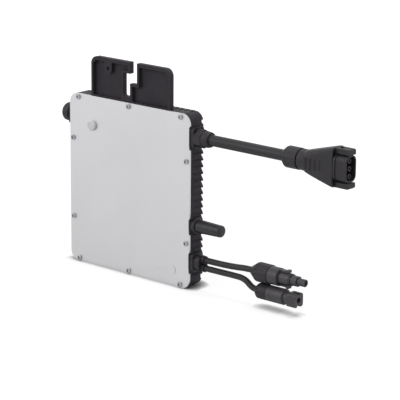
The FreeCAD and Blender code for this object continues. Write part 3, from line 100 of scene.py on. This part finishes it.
# Grain, patch and depth are real sizes in mm. Patches vary the tone, clouds vary the gloss and
# grain raises the surface. A stretch below 1 draws a pattern out along that axis. A metal keeps the
# default index of refraction.
def makeFinish(name, look):
    finish = bpy.data.materials.new(name)
    finish.use_nodes = True
    tree = finish.node_tree
    shader = tree.nodes["Principled BSDF"]
    shader.inputs["Metallic"].default_value = look.get("metallic", 0.0)
    shader.inputs["IOR"].default_value = look.get("ior", 1.5)
    where = addNode(tree, "TexCoord", {}, {}).outputs["Object"]
    along = addNode(tree, "Mapping", {"Scale": look.get("stretch", (1, 1, 1))}, {"Vector": where})
    patchScale, grainScale = noise["perMetre"] / look["patch"], noise["perMetre"] / look["grain"]
    patch = addNode(tree, "TexNoise", {"Scale": patchScale, "Detail": noise["patchDetail"]},
                    {"Vector": where})
    cloud = addNode(tree, "TexNoise", {"Scale": patchScale * noise["cloudsPerPatch"],
                                       "Detail": noise["cloudDetail"]},
                    {"Vector": along.outputs["Vector"]})
    grain = addNode(tree, "TexNoise", {"Scale": grainScale, "Detail": noise["grainDetail"]},
                    {"Vector": along.outputs["Vector"]})
    tone = addNode(tree, "ValToRGB", {}, {"Fac": patch.outputs["Fac"]})
    ends = tone.color_ramp.elements
    ends[0].position, ends[1].position = noise["toneLow"], noise["toneHigh"]
    ends[0].color, ends[1].color = linearColour(look["dark"]), linearColour(look["light"])
    gloss = addNode(tree, "MapRange", {"From Min": noise["glossLow"], "From Max": noise["glossHigh"],
                                       "To Min": look["roughness"] - look["uneven"],
                                       "To Max": look["roughness"] + look["uneven"]},
                    {"Value": cloud.outputs["Fac"]})
    relief = addNode(tree, "Bump", {"Strength": look["relief"], "Distance": look["depth"] * mm},
                     {"Height": grain.outputs["Fac"]})
    tree.links.new(tone.outputs["Color"], shader.inputs["Base Color"])
    tree.links.new(gloss.outputs["Result"], shader.inputs["Roughness"])
    tree.links.new(relief.outputs["Normal"], shader.inputs["Normal"])
    return finish


finishes = {
    # Die-cast aluminium with a baked black coat: satin, faintly pebbled, patchy in its gloss. The
    # coat's 0.2 mm pebbles are drawn 0.9 mm wide so that they show.
    "blackCoatedCasting": {"dark": "#2f2b31", "light": "#363238", "ior": 1.28, "roughness": 0.62,
                           "uneven": 0.07, "patch": 38, "grain": 0.9, "depth": 0.10, "relief": 0.4},
    # Rolled aluminium sheet, matt anodised: even light grey, with a fine grain up the sheet. The
    # grain's 0.1 mm lines are drawn 0.8 mm wide so that they show.
    "anodisedAluminiumSheet": {"dark": "#c6c6c8", "light": "#cbcbcd", "metallic": 1.0,
                               "roughness": 0.46, "uneven": 0.04, "patch": 90, "grain": 0.8,
                               "stretch": (1, 1, 0.08), "depth": 0.02, "relief": 0.12},
    # Moulded glass-filled polyamide: dark, dull, with an eroded mould's grain, 0.15 mm wide and drawn
    # at 0.7 mm
    "mouldedPolyamide": {"dark": "#242125", "light": "#2b282c", "ior": 1.4, "roughness": 0.54,
                         "uneven": 0.06, "patch": 24, "grain": 0.7, "depth": 0.05, "relief": 0.3},
    # Moulded polyphenylene ether of the panel connectors' bodies: a smoother dark grey, made lighter
    # than
    # # the nuts' polyamide, partly as its own plastic and partly as painted light for the light the
    # bodies catch
    "polyphenyleneWithPaintedLight": {"dark": "#3a373b", "light": "#413e42", "ior": 1.45, "roughness": 0.46,
                             "uneven": 0.05, "patch": 16, "grain": 0.7, "depth": 0.04,
                             "relief": 0.25},
    # Extruded cable jacket: slightly glossy, with faint drag lines along it
    "extrudedJacket": {"dark": "#1e1b1f", "light": "#252226", "ior": 1.4, "roughness": 0.46,
                       "uneven": 0.06, "patch": 30, "grain": 0.9, "stretch": (0.12, 1, 1),
                       "depth": 0.05, "relief": 0.25},
    # Moulded rubber: deep black, with a broad soft sheen and a fine grain
    "mouldedRubber": {"dark": "#221f23", "light": "#29262a", "ior": 1.42, "roughness": 0.45,
                      "uneven": 0.08, "patch": 18, "grain": 0.6, "depth": 0.06, "relief": 0.35},
    # Zinc-plated steel: bright, cool, with turning marks 0.1 mm apart, drawn at 0.4 mm
    "zincPlatedSteel": {"dark": "#95969a", "light": "#b0b1b4", "metallic": 1.0, "roughness": 0.24,
                        "uneven": 0.08, "patch": 4, "grain": 0.4, "depth": 0.04, "relief": 0.4},
    # Black oxide on turned steel, for the flanges' small screws: dark, with a faint metallic sheen
    "blackOxideSteel": {"dark": "#302e31", "light": "#3d3b3e", "metallic": 1.0, "roughness": 0.42,
                        "uneven": 0.06, "patch": 4, "grain": 0.4, "depth": 0.02, "relief": 0.2},
    # Moulded pale grey polyamide of the vent's button: nearly white, satin, finely grained
    "mouldedPaleGrey": {"dark": "#d8d8d9", "light": "#dfdfe0", "ior": 1.53, "roughness": 0.5,
                        "uneven": 0.05, "patch": 12, "grain": 0.5, "depth": 0.03, "relief": 0.2},
    # Tinned brass of the contacts, painted dark grey with a warm cast for the shade inside the
    # connectors' holes
    "tinnedBrassWithPaintedShade": {"dark": "#3a3735", "light": "#484541", "metallic": 1.0, "roughness": 0.4,
                    "uneven": 0.08, "patch": 5, "grain": 0.4, "depth": 0.02, "relief": 0.2},
    # Glass-epoxy laminate under green lacquer: deep green and glossy, with its 1.2 mm weave showing
    "greenLaminate": {"dark": "#10401f", "light": "#1b5a2c", "ior": 1.55, "roughness": 0.3,
                      "uneven": 0.06, "patch": 9, "grain": 1.2, "depth": 0.05, "relief": 0.3},
    # Pressed and sintered ferrite: dark grey, dull and slightly powdery
    "sinteredFerrite": {"dark": "#3f3f42", "light": "#4a4a4d", "ior": 1.6, "roughness": 0.65,
                        "uneven": 0.06, "patch": 14, "grain": 0.6, "depth": 0.06, "relief": 0.4},
    # Enamelled copper wire, wound 0.9 mm apart: warm brown turns, each with a narrow glint
    "enamelledCopper": {"dark": "#9a5228", "light": "#b4652f", "metallic": 1.0, "roughness": 0.32,
                        "uneven": 0.06, "patch": 8, "grain": 0.9, "stretch": (0.1, 1, 1),
                        "depth": 0.3, "relief": 0.6},
    # Drawn aluminium can: bright, with fine drawn lines along its side
    "drawnCan": {"dark": "#b9babc", "light": "#c8c9cb", "metallic": 1.0, "roughness": 0.3,
                 "uneven": 0.06, "patch": 10, "grain": 0.8, "stretch": (1, 0.1, 1), "depth": 0.03,
                 "relief": 0.25},
    # Moulded green polyamide of the terminal blocks: mid green, satin, with an even mould grain
    "mouldedGreen": {"dark": "#245c34", "light": "#2c6b3d", "ior": 1.53, "roughness": 0.45,
                     "uneven": 0.05, "patch": 12, "grain": 0.6, "depth": 0.04, "relief": 0.25},
    # Cast silicone pad filled with ceramic: soft grey, matt, slightly mottled
    "siliconePad": {"dark": "#85888c", "light": "#92959a", "ior": 1.43, "roughness": 0.75,
                    "uneven": 0.05, "patch": 8, "grain": 0.7, "depth": 0.08, "relief": 0.4},
    # Extruded insulation on the copper cores: dark grey, smooth, with faint drag lines
    "coreInsulation": {"dark": "#38373a", "light": "#424144", "ior": 1.5, "roughness": 0.42,
                       "uneven": 0.06, "patch": 12, "grain": 0.7, "stretch": (0.12, 1, 1),
                       "depth": 0.04, "relief": 0.25},
}
material = {name: makeFinish(name, look) for name, look in finishes.items()}

# The record's material slots and the finish that each one gets
slotFinish = {
    "black_casting": "blackCoatedCasting", "bare_aluminium": "anodisedAluminiumSheet",
    "black_rubber": "mouldedRubber", "steel": "zincPlatedSteel", "black_plastic": "mouldedPolyamide",
    "grey_plastic": "mouldedPaleGrey", "wire_plastic": "coreInsulation",
    "cable_jacket": "extrudedJacket", "brass": "tinnedBrassWithPaintedShade", "laminate": "greenLaminate",
    # The contacts' finish is painted dark for the shade inside the connectors' holes
    "ferrite": "sinteredFerrite", "copper": "enamelledCopper", "aluminium_can": "drawnCan",
    "green_plastic": "mouldedGreen", "grey_rubber": "siliconePad",
}
# Nodes whose surface was made in another way than their slot's
ownFinish = {
    "ac_outlet_screws": "blackOxideSteel", "ac_inlet_screws": "blackOxideSteel",
    # The connectors' bodies take the lighter copy of the dark plastic, whose tone holds painted light
    "pv_male_body": "polyphenyleneWithPaintedLight", "pv_female_body": "polyphenyleneWithPaintedLight",
}
nodeFinish = {}
for part in frame["record"]["subparts"]:
    node = part["node"]
    nodeFinish[node] = material[ownFinish.get(node, slotFinish[part["material_slot"]])]
    mesh = frame["nodes"][node].data
    mesh.materials.clear()
    mesh.materials.append(nodeFinish[node])
print("stage: materials,", len(material))

# Cords: each route repeats its solid's own points, in millimetres, and the pieces on a cord are
# those whose names begin with one of the words in "with"
cords = {
    "acCable": {
        "node": "ac_cable", "diameter": 10.8, "length": 0.0898, "far": "plug", "stiffness": "stiff",
        "with": ("plug", "upperLatch", "lowerLatch", "ac_plug"),
        "route": [(99.1, 0, 151), (129.0, 0, 151), (159.0, 0, 151), (188.9, 0, 151)]},
    "panelLeadPositive": {
        "node": "dc_lead_positive", "diameter": 6.0, "length": 0.0579, "far": "connector",
        "stiffness": "medium", "with": ("pinNut", "pv_male"),
        "route": [(93.2, 0, 31.025), (112, 0, 31.025), (132, 0.5, 31.9), (142, 1.0, 33.0),
                  (151, 1.0, 33.0)]},
    "panelLeadNegative": {
        "node": "dc_lead_negative", "diameter": 6.0, "length": 0.0677, "far": "connector",
        "stiffness": "medium", "with": ("sleeveNut", "pv_female"),
        "route": [(93.2, 0, 22.975), (111, 0, 22.975), (127, 0, 23.25), (143, -0.1, 23.0),
                  (153, -1.0, 15.6), (159, -1.0, 15.6)]},
}

# Steps between two route points and round a quarter of the section
cordSteps = {"along": 24, "round": 8}


def makeCord(name, facts):
    curve = bpy.data.curves.new(name, "CURVE")
    curve.dimensions = "3D"
    spline = curve.splines.new("NURBS")
    spline.points.add(len(facts["route"]) - 1)
    for point, place in zip(spline.points, facts["route"]):
        point.co = (*(np.array(place) * mm), 1)
    spline.order_u = 3
    spline.use_endpoint_u = True
    curve.resolution_u = cordSteps["along"]
    curve.bevel_depth = facts["diameter"] / 2 * mm
    curve.bevel_resolution = cordSteps["round"]
    curve.use_fill_caps = True
    curve.materials.append(material["extrudedJacket"])
    cord = bpy.data.objects.new(name, curve)
    bpy.context.scene.collection.objects.link(cord)
    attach(cord, "root")
    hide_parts(facts["node"])


for name, facts in cords.items():
    makeCord(name, facts)
print("stage: cords,", len(cords))


# Puts a mesh into the scene, riding on the one body, and hides the node that it stands for
def addPiece(name, mesh, finish, node=None):
    piece = bpy.data.objects.new(name, mesh)
    bpy.context.scene.collection.objects.link(piece)
    mesh.materials.clear()
    mesh.materials.append(finish)
    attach(piece, "root")
    if node:
        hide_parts(node)
    return piece


# Limits below which points merge (metres), facets join and edges stay soft (degrees)
meshing = {"merge": 1e-6, "nodeMerge": 2e-6, "flatAngle": 1.5, "roundAngle": 38, "cornerAngle": 30}


# Row i of the grid is one closed ring of points, and a cap closes each end
def ringMesh(name, rings, sharpAngle):
    rows, cols, _ = rings.shape
    index = np.arange(rows * cols).reshape(rows, cols)
    nextCol = np.roll(index, -1, axis=1)
    quads = np.stack([index[:-1], index[1:], nextCol[1:], nextCol[:-1]], axis=-1).reshape(-1, 4)
    mesh = bpy.data.meshes.new(name)
    mesh.from_pydata((rings * mm).reshape(-1, 3).tolist(), [],
                     quads.tolist() + [index[0].tolist(), index[-1][::-1].tolist()])
    work = bmesh.new()
    work.from_mesh(mesh)
    bmesh.ops.remove_doubles(work, verts=work.verts, dist=meshing["merge"])
    bmesh.ops.recalc_face_normals(work, faces=work.faces)
    work.to_mesh(mesh)
    work.free()
    mesh.shade_smooth()
    mesh.set_sharp_from_angle(angle=math.radians(sharpAngle))
    return mesh


# Each inner corner of a profile becomes a quadratic arc between its two neighbouring runs:
# p(t) = (1 - t)^2 start + 2 t (1 - t) corner + t^2 end
def softProfile(points, roundness, steps=5, share=0.45):
    corners = np.array(points, float)
    before, here, after = corners[:-2], corners[1:-1], corners[2:]
    lengthIn = np.linalg.norm(before - here, axis=1)
    lengthOut = np.linalg.norm(after - here, axis=1)
    reach = np.minimum(roundness, share * np.minimum(lengthIn, lengthOut))[:, None]
    start = here + (before - here) / lengthIn[:, None] * reach
    end = here + (after - here) / lengthOut[:, None] * reach
    t = np.linspace(0, 1, steps)[None, :, None]
    arcs = (1 - t) ** 2 * start[:, None] + 2 * t * (1 - t) * here[:, None] + t ** 2 * end[:, None]
    return np.vstack([corners[:1], arcs.reshape(-1, 2), corners[-1:]])


# Turned about a line along X: point(u, v) = (x(u), cy + r cos v, cz + r sin v), where flutes pull
# r(u) in by depth * max(0, cos(count v))^2 inside their span of x
def makeTurned(name, facts):
    profile = softProfile(facts["profile"], facts["round"])
    v = np.linspace(0, 2 * np.pi, facts["segments"], endpoint=False)
    x, r = profile[:, :1], np.maximum(profile[:, 1:], 0.0)
    flutes = facts.get("flutes", {"count": 0, "depth": 0.0, "span": (0, 0)})
    inside = (x >= flutes["span"][0]) & (x <= flutes["span"][1])
    r = r - inside * flutes["depth"] * np.clip(np.cos(flutes["count"] * v)[None, :], 0, 1) ** 2
    y, z = facts["axis"]
    rings = np.stack([x + 0 * r, y + r * np.cos(v), z + r * np.sin(v)], -1)
    mesh = ringMesh(name, rings, meshing["roundAngle"])
    return addPiece(name, mesh, material[facts["finish"]], facts.get("node"))


# Axes as (y, z) and profiles as (x, radius), in millimetres
outletAxis, antennaAxis, pinAxis, sleeveAxis = (0.0, 151.0), (0.0, 63.5), (1.0, 33.0), (-1.0, 15.6)
turned = {
    "outletDome": {  # round mouth of the outlet's gland nut
        "axis": outletAxis, "finish": "mouldedPolyamide", "round": 0.8, "segments": 96,
        "profile": [(91.3, 0), (91.3, 8.05), (92.6, 8.0), (97.0, 7.8), (99.1, 7.1), (99.1, 6.5),
                    (97.6, 6.2), (97.6, 0)]},
    "plugBackNut": {  # tapered nut behind the plug, with twelve grip faces
        "node": "ac_plug_nut", "axis": outletAxis, "finish": "mouldedPolyamide", "round": 0.6,
        "segments": 144, "flutes": {"count": 12, "depth": 0.45, "span": (193.6, 207.2)},
        "profile": [(188.9, 0), (188.9, 6.8), (193.2, 10.3), (207.7, 10.3), (207.7, 0)]},
    "plugNeck": {  # what shows in the gap between the nut and the shell
        "axis": outletAxis, "finish": "mouldedPolyamide", "round": 0.2, "segments": 96,
        "profile": [(207.6, 0), (207.6, 8.7), (208.6, 8.7), (208.6, 0)]},
    "inletCap": {
        "node": "ac_inlet_cap", "axis": outletAxis, "finish": "mouldedPolyamide", "round": 1.2,
        "segments": 144, "flutes": {"count": 24, "depth": 0.35, "span": (-90.0, -85.0)},
        "profile": [(-93.0, 0), (-93.0, 7.4), (-90.8, 9.3), (-84.0, 9.3), (-84.0, 8.3), (-85.0, 8.3),
                    (-85.0, 0)]},
    "antennaRod": {
        "node": "antenna_rod", "axis": antennaAxis, "finish": "mouldedRubber", "round": 1.7,
        "segments": 96, "profile": [(84.0, 0), (84.0, 6.65), (113.6, 5.8), (113.6, 0)]},
    "antennaCollar": {
        "node": "antenna_collar", "axis": antennaAxis, "finish": "mouldedPolyamide", "round": 0.5,
        "segments": 96, "profile": [(80.0, 0), (80.0, 8.0), (82.9, 8.0), (84.0, 6.9), (84.0, 0)]},
    "pinNut": {
        "node": "pv_male_nut", "axis": pinAxis, "finish": "mouldedPolyamide", "round": 0.7,
        "segments": 144, "flutes": {"count": 12, "depth": 0.9, "span": (159.6, 172.6)},
        "profile": [(151.0, 0), (151.0, 4.0), (158.2, 8.8), (159.4, 9.5), (174.4, 9.5), (174.4, 0)]},
    "sleeveNut": {
        "node": "pv_female_nut", "axis": sleeveAxis, "finish": "mouldedPolyamide", "round": 0.7,
        "segments": 144, "flutes": {"count": 12, "depth": 0.7, "span": (162.8, 172.4)},
        "profile": [(159.0, 0), (159.0, 4.8), (162.4, 7.7), (174.0, 7.7), (174.0, 0)]},
}
for name, facts in turned.items():
    makeTurned(name, facts)
print("stage: turned pieces,", len(turned))

# Shell of the latching plug, in millimetres: places along x, the others from its axis
plugShell = {
    "start": 208.5, "flare": 215.2, "rim": 247.7, "front": 250.0, "neck": 10.0, "halfHeight": 18.5,
    "halfWidth": 9.4, "wall": 1.5, "wellDepth": 1.6, "squareness": 5.0, "squareGrowth": 0.6,
    "startInset": (0.5, 0.1), "edgeStart": 0.35, "edgeMiddle": 0.1, "edgeInset": (0.25, 0.6),
    "wellWall": 1.5,
    "heightInset": 0.3, "neckRings": 8, "flareRings": 150, "rimRings": 4, "segments": 256,
    "grips": (219.8, 225.0, 230.2, 235.4), "gripHalfWidth": 0.62, "gripHalfLength": 5.6,
    "gripHeight": 0.95, "gripFade": 0.25,
}


# Superellipse loft: y = a sgn(cos v) |cos v|^p and z = b sgn(sin v) |sin v|^p, where a, b and
# p = 2 / (2 + squareness t^growth) drift from a round neck at t = 0 to a tall rounded mouth at t = 1.
# Each grip rib lifts y by
# height exp(-((x - middle) / halfWidth)^4) / (1 + exp((|z| - halfLength) / fade)).
def makePlugShell():
    facts = plugShell
    front = facts["front"]
    x = np.concatenate([np.linspace(facts["start"], facts["flare"], facts["neckRings"]),
                        np.linspace(facts["flare"], facts["rim"], facts["flareRings"])[1:],
                        np.linspace(facts["rim"], front - facts["edgeStart"], facts["rimRings"])[1:],
                        [front - facts["edgeMiddle"], front, front, front - facts["wellWall"],
                         front - facts["wellDepth"]]])
    inset = np.zeros_like(x)
    inset[:2] = facts["startInset"]
    inset[-5:] = [*facts["edgeInset"], facts["wall"], facts["wall"], facts["wall"]]
    v = np.linspace(0, 2 * np.pi, facts["segments"], endpoint=False)[None, :]
    x, inset = x[:, None], inset[:, None]
    t = np.clip((x - facts["flare"]) / (facts["rim"] - facts["flare"]), 0, 1)
    a = facts["neck"] + (facts["halfWidth"] - facts["neck"]) * t - inset
    b = (facts["neck"] + (facts["halfHeight"] - facts["neck"]) * t
         - inset * (1 + facts["heightInset"] * t))
    power = 2 / (2 + facts["squareness"] * t ** facts["squareGrowth"])
    y = a * np.sign(np.cos(v)) * np.abs(np.cos(v)) ** power
    z = b * np.sign(np.sin(v)) * np.abs(np.sin(v)) ** power
    lift = sum(np.exp(-((x - middle) / facts["gripHalfWidth"]) ** 4) for middle in facts["grips"])
    fade = 1 / (1 + np.exp((np.abs(z) - facts["gripHalfLength"]) / facts["gripFade"]))
    y = y + np.sign(np.cos(v)) * facts["gripHeight"] * lift * fade
    rings = np.stack([x + 0 * y, outletAxis[0] + y, outletAxis[1] + z], -1)
    mesh = ringMesh("plugShell", rings, meshing["roundAngle"])
    addPiece("plugShell", mesh, material["mouldedPolyamide"], "ac_plug_shell")


# Latch arms, in millimetres: root, tip and window along x, outer and inner up from the plug's axis
latch = {"root": 247.7, "tip": 265.9, "outer": 18.3, "inner": 13.3, "hook": 3.2, "hookDrop": 0.5,
         "half": 5.2, "windowStart": 252.4, "windowEnd": 256.4, "windowHalf": 2.2, "edge": 0.35,
         "windowEdge": 0.12, "hookSlope": 0.6, "hookLift": 0.3, "tipDrop": 1.0, "tipBack": 1.2}


# A closed outline of (x, z) carried along y: point(i, k) = (x_i, y_k, z_i) for the two depths y_k
def outlineMesh(name, outline, low, high):
    flat = np.array(outline, float)
    rings = np.stack([np.stack([flat[:, 0], np.full(len(flat), y), flat[:, 1]], -1)
                      for y in (low, high)])
    return ringMesh(name, rings, meshing["cornerAngle"])


def softenEdges(piece, width, segments=3):
    bevel = piece.modifiers.new("edges", "BEVEL")
    bevel.width = width * mm
    bevel.segments = segments
    bevel.limit_method = "ANGLE"
    bevel.angle_limit = math.radians(meshing["cornerAngle"])
    bevel.harden_normals = True


# Each arm is two side strips and a root and a tip between them, which leave its window open
def makeLatchArm(name, side):
    root, tip, inner, outer = latch["root"], latch["tip"], latch["inner"], latch["outer"]
    hook, drop = tip - latch["hook"], latch["inner"] - latch["hookDrop"]
    end = [(hook, inner), (hook + latch["hookSlope"], drop), (tip, drop + latch["hookLift"]),
           (tip, outer - latch["tipDrop"]), (tip - latch["tipBack"], outer)]
    full = [(root, inner)] + end + [(root, outer)]
    start, finish = latch["windowStart"], latch["windowEnd"]
    back = [(root, inner), (start, inner), (start, outer), (root, outer)]
    front = [(finish, inner)] + end + [(finish, outer)]
    half, gap = latch["half"], latch["windowHalf"]
    strips = {"LeftSide": (full, -half, -gap, "edge"), "RightSide": (full, gap, half, "edge"),
              "Root": (back, -gap, gap, "windowEdge"), "Tip": (front, -gap, gap, "windowEdge")}
    for suffix, (outline, low, high, edge) in strips.items():
        lifted = [(x, outletAxis[1] + side * z) for x, z in outline]
        strip = addPiece(name + suffix, outlineMesh(name + suffix, lifted, low, high),
                         material["mouldedPolyamide"])
        softenEdges(strip, latch[edge])


makePlugShell()
makeLatchArm("upperLatch", 1)
makeLatchArm("lowerLatch", -1)
print("stage: plug shell and latches")

# Web between the earthing boss and the bracket's top rim, in millimetres
bossWeb = {"across": -29.3, "up": 203.9, "radius": 4.9, "clearRadius": 3.3, "top": 210.6,
           "front": -6.85, "back": -3.3, "steps": 25, "edge": 0.25}


# A block as wide as the boss, whose lower edge runs round the boss's hole:
# (across + q cos a, up + q sin a), with q the clear radius and a from pi down to 0
def makeBossWeb():
    facts = bossWeb
    a = np.linspace(np.pi, 0, facts["steps"])
    arch = np.stack([facts["across"] + facts["clearRadius"] * np.cos(a),
                     facts["up"] + facts["clearRadius"] * np.sin(a)], -1)
    left, right = facts["across"] - facts["radius"], facts["across"] + facts["radius"]
    outline = np.vstack([[(left, facts["top"]), (left, facts["up"])], arch,
                         [(right, facts["up"]), (right, facts["top"])]])
    mesh = outlineMesh("earthBossWeb", outline, facts["front"], facts["back"])
    softenEdges(addPiece("earthBossWeb", mesh, material["blackCoatedCasting"]), facts["edge"])


makeBossWeb()
print("stage: boss web")

# Every other visible node keeps its form and gets its edges rounded, widths in millimetres
edgeWidths = {
    "heatsink_housing": 0.3, "cover_plate": 0.35, "cover_screws": 0.2, "vent_plug": 0.3,
    "ac_outlet_flange": 0.35, "ac_outlet_screws": 0.12, "ac_inlet_flange": 0.35,
    "ac_inlet_screws": 0.12, "ac_outlet_nut": 0.3, "ac_plug_insert": 0.4, "ac_plug_contacts": 0.12,
    "ac_plug_ring": 0.25, "dc_gland_flange": 0.45, "dc_gland_body": 0.5, "pv_male_body": 0.25,
    "pv_female_body": 0.45, "pv_male_seal": 0.2, "pv_male_contact": 0.15, "pv_female_contact": 0.15,
}


# A copy of the node's own faces, merged and with its flat facets joined, so that its edges bevel
def dressNode(node, width):
    mesh = frame["nodes"][node].data.copy()
    work = bmesh.new()
    work.from_mesh(mesh)
    bmesh.ops.remove_doubles(work, verts=work.verts, dist=meshing["nodeMerge"])
    bmesh.ops.dissolve_limit(work, angle_limit=math.radians(meshing["flatAngle"]), verts=work.verts,
                             edges=work.edges)
    work.to_mesh(mesh)
    work.free()
    mesh.shade_smooth()
    mesh.set_sharp_from_angle(angle=math.radians(meshing["cornerAngle"]))
    softenEdges(addPiece(node + "_skin", mesh, nodeFinish[node], node), width, segments=2)


for node, width in edgeWidths.items():
    dressNode(node, width)
print("stage: rounded edges,", len(edgeWidths), "nodes")


# Studio: strengths where 1 is white, lamps in metres and watts
studio = {
    "roomColour": "#ffffff", "roomStrength": 0.76, "floorGlow": 0.775, "farGlow": 1.0,
    "glowStart": 0.35, "glowEnd": 1.3, "floorColour": "#8e8e8e", "floorReach": 6.0,
    # These reach, depth and lean settings dim the floor's glow close under the object: a painted
    # contact shadow
    "paintedShadowReach": 0.0112, "paintedShadowDepth": 4.5, "paintedShadowLean": {"X": 0.0, "Y": -0.7, "Z": 0.714},
    "lamps": {
        "keyLamp": {"place": (-0.9, -1.6, 1.1), "aim": (0.05, 0, 0.1), "size": 1.0, "power": 10},
        "topLamp": {"place": (0.15, 0.2, 1.7), "aim": (0.12, 0, 0), "size": 0.45, "power": 8},
    },
}


# White for the eye and for reflections, and a softer light for everything else
def makeWorld():
    world = bpy.data.worlds.new("paleRoom")
    bpy.context.scene.world = world
    world.use_nodes = True
    tree = world.node_tree
    tree.nodes.clear()
    white = linearColour(studio["roomColour"])
    path = addNode(tree, "LightPath", {}, {})
    mirrored = addNode(tree, "Math", {"operation": "MAXIMUM"}, {0: path.outputs["Is Camera Ray"],
                                                               1: path.outputs["Is Glossy Ray"]})
    seen = addNode(tree, "Math", {"operation": "MAXIMUM"}, {0: mirrored.outputs[0],
                                                           1: path.outputs["Is Transmission Ray"]})
    room = addNode(tree, "Background", {"Color": white, "Strength": studio["roomStrength"]}, {})
    shown = addNode(tree, "Background", {"Color": white, "Strength": 1.0}, {})
    mix = addNode(tree, "MixShader", {}, {0: seen.outputs[0], 1: room.outputs[0],
                                          2: shown.outputs[0]})
    addNode(tree, "OutputWorld", {}, {"Surface": mix.outputs[0]})


# The floor keeps the object's shadow. It glows for the eye and for reflections, up to white further
# out, where the lamps no longer reach it, and less close under the object, where an occlusion term
# dims the glow into a painted contact shadow. Closeness is looked for with a lean to the front, so
# that this painted shadow darkens what hangs over the floor more than what stands on it.
def makeFloor():
    reach = studio["floorReach"]
    mesh = bpy.data.meshes.new("floor")
    mesh.from_pydata([(-reach, -reach, 0), (reach, -reach, 0), (reach, reach, 0), (-reach, reach, 0)],
                     [], [(0, 1, 2, 3)])
    paint = bpy.data.materials.new("paleFloor")
    paint.use_nodes = True
    tree = paint.node_tree
    tree.nodes.clear()
    path = addNode(tree, "LightPath", {}, {})
    mirrored = addNode(tree, "Math", {"operation": "MAXIMUM"}, {0: path.outputs["Is Camera Ray"],
                                                               1: path.outputs["Is Glossy Ray"]})
    matt = addNode(tree, "BsdfDiffuse", {"Color": linearColour(studio["floorColour"])}, {})
    dark = addNode(tree, "Emission", {"Strength": 0.0}, {})
    where = addNode(tree, "TexCoord", {}, {}).outputs["Object"]
    away = addNode(tree, "VectorMath", {"operation": "LENGTH"}, {0: where})
    fade = addNode(tree, "MapRange", {"From Min": studio["glowStart"], "From Max": studio["glowEnd"],
                                      "To Min": studio["floorGlow"], "To Max": studio["farGlow"]},
                   {"Value": away.outputs["Value"]})
    lean = addNode(tree, "CombineXYZ", studio["paintedShadowLean"], {})
    # Painted contact shadow: occlusion close under the object dims the floor's glow
    close = addNode(tree, "AmbientOcclusion", {"Distance": studio["paintedShadowReach"]},
                    {"Normal": lean.outputs["Vector"]})
    deep = addNode(tree, "Math", {"operation": "POWER", 1: studio["paintedShadowDepth"]},
                   {0: close.outputs["AO"]})
    strength = addNode(tree, "Math", {"operation": "MULTIPLY"}, {0: fade.outputs["Result"],
                                                                 1: deep.outputs[0]})
    glow = addNode(tree, "Emission", {}, {"Strength": strength.outputs[0]})
    lit = addNode(tree, "MixShader", {}, {0: mirrored.outputs[0], 1: dark.outputs[0],
                                          2: glow.outputs[0]})
    both = addNode(tree, "AddShader", {}, {0: matt.outputs[0], 1: lit.outputs[0]})
    addNode(tree, "OutputMaterial", {}, {"Surface": both.outputs[0]})
    mesh.materials.append(paint)
    floor = bpy.data.objects.new("floor", mesh)
    bpy.context.scene.collection.objects.link(floor)


def makeLamp(name, facts):
    light = bpy.data.lights.new(name, "AREA")
    light.size = facts["size"]
    light.energy = facts["power"]
    lamp = bpy.data.objects.new(name, light)
    lamp.location = facts["place"]
    beam = Vector(facts["aim"]) - Vector(facts["place"])
    lamp.rotation_euler = beam.to_track_quat("-Z", "Y").to_euler()
    bpy.context.scene.collection.objects.link(lamp)


makeWorld()
makeFloor()
for name, facts in studio["lamps"].items():
    makeLamp(name, facts)
bpy.context.scene.view_settings.view_transform = "Standard"
print("stage: studio")
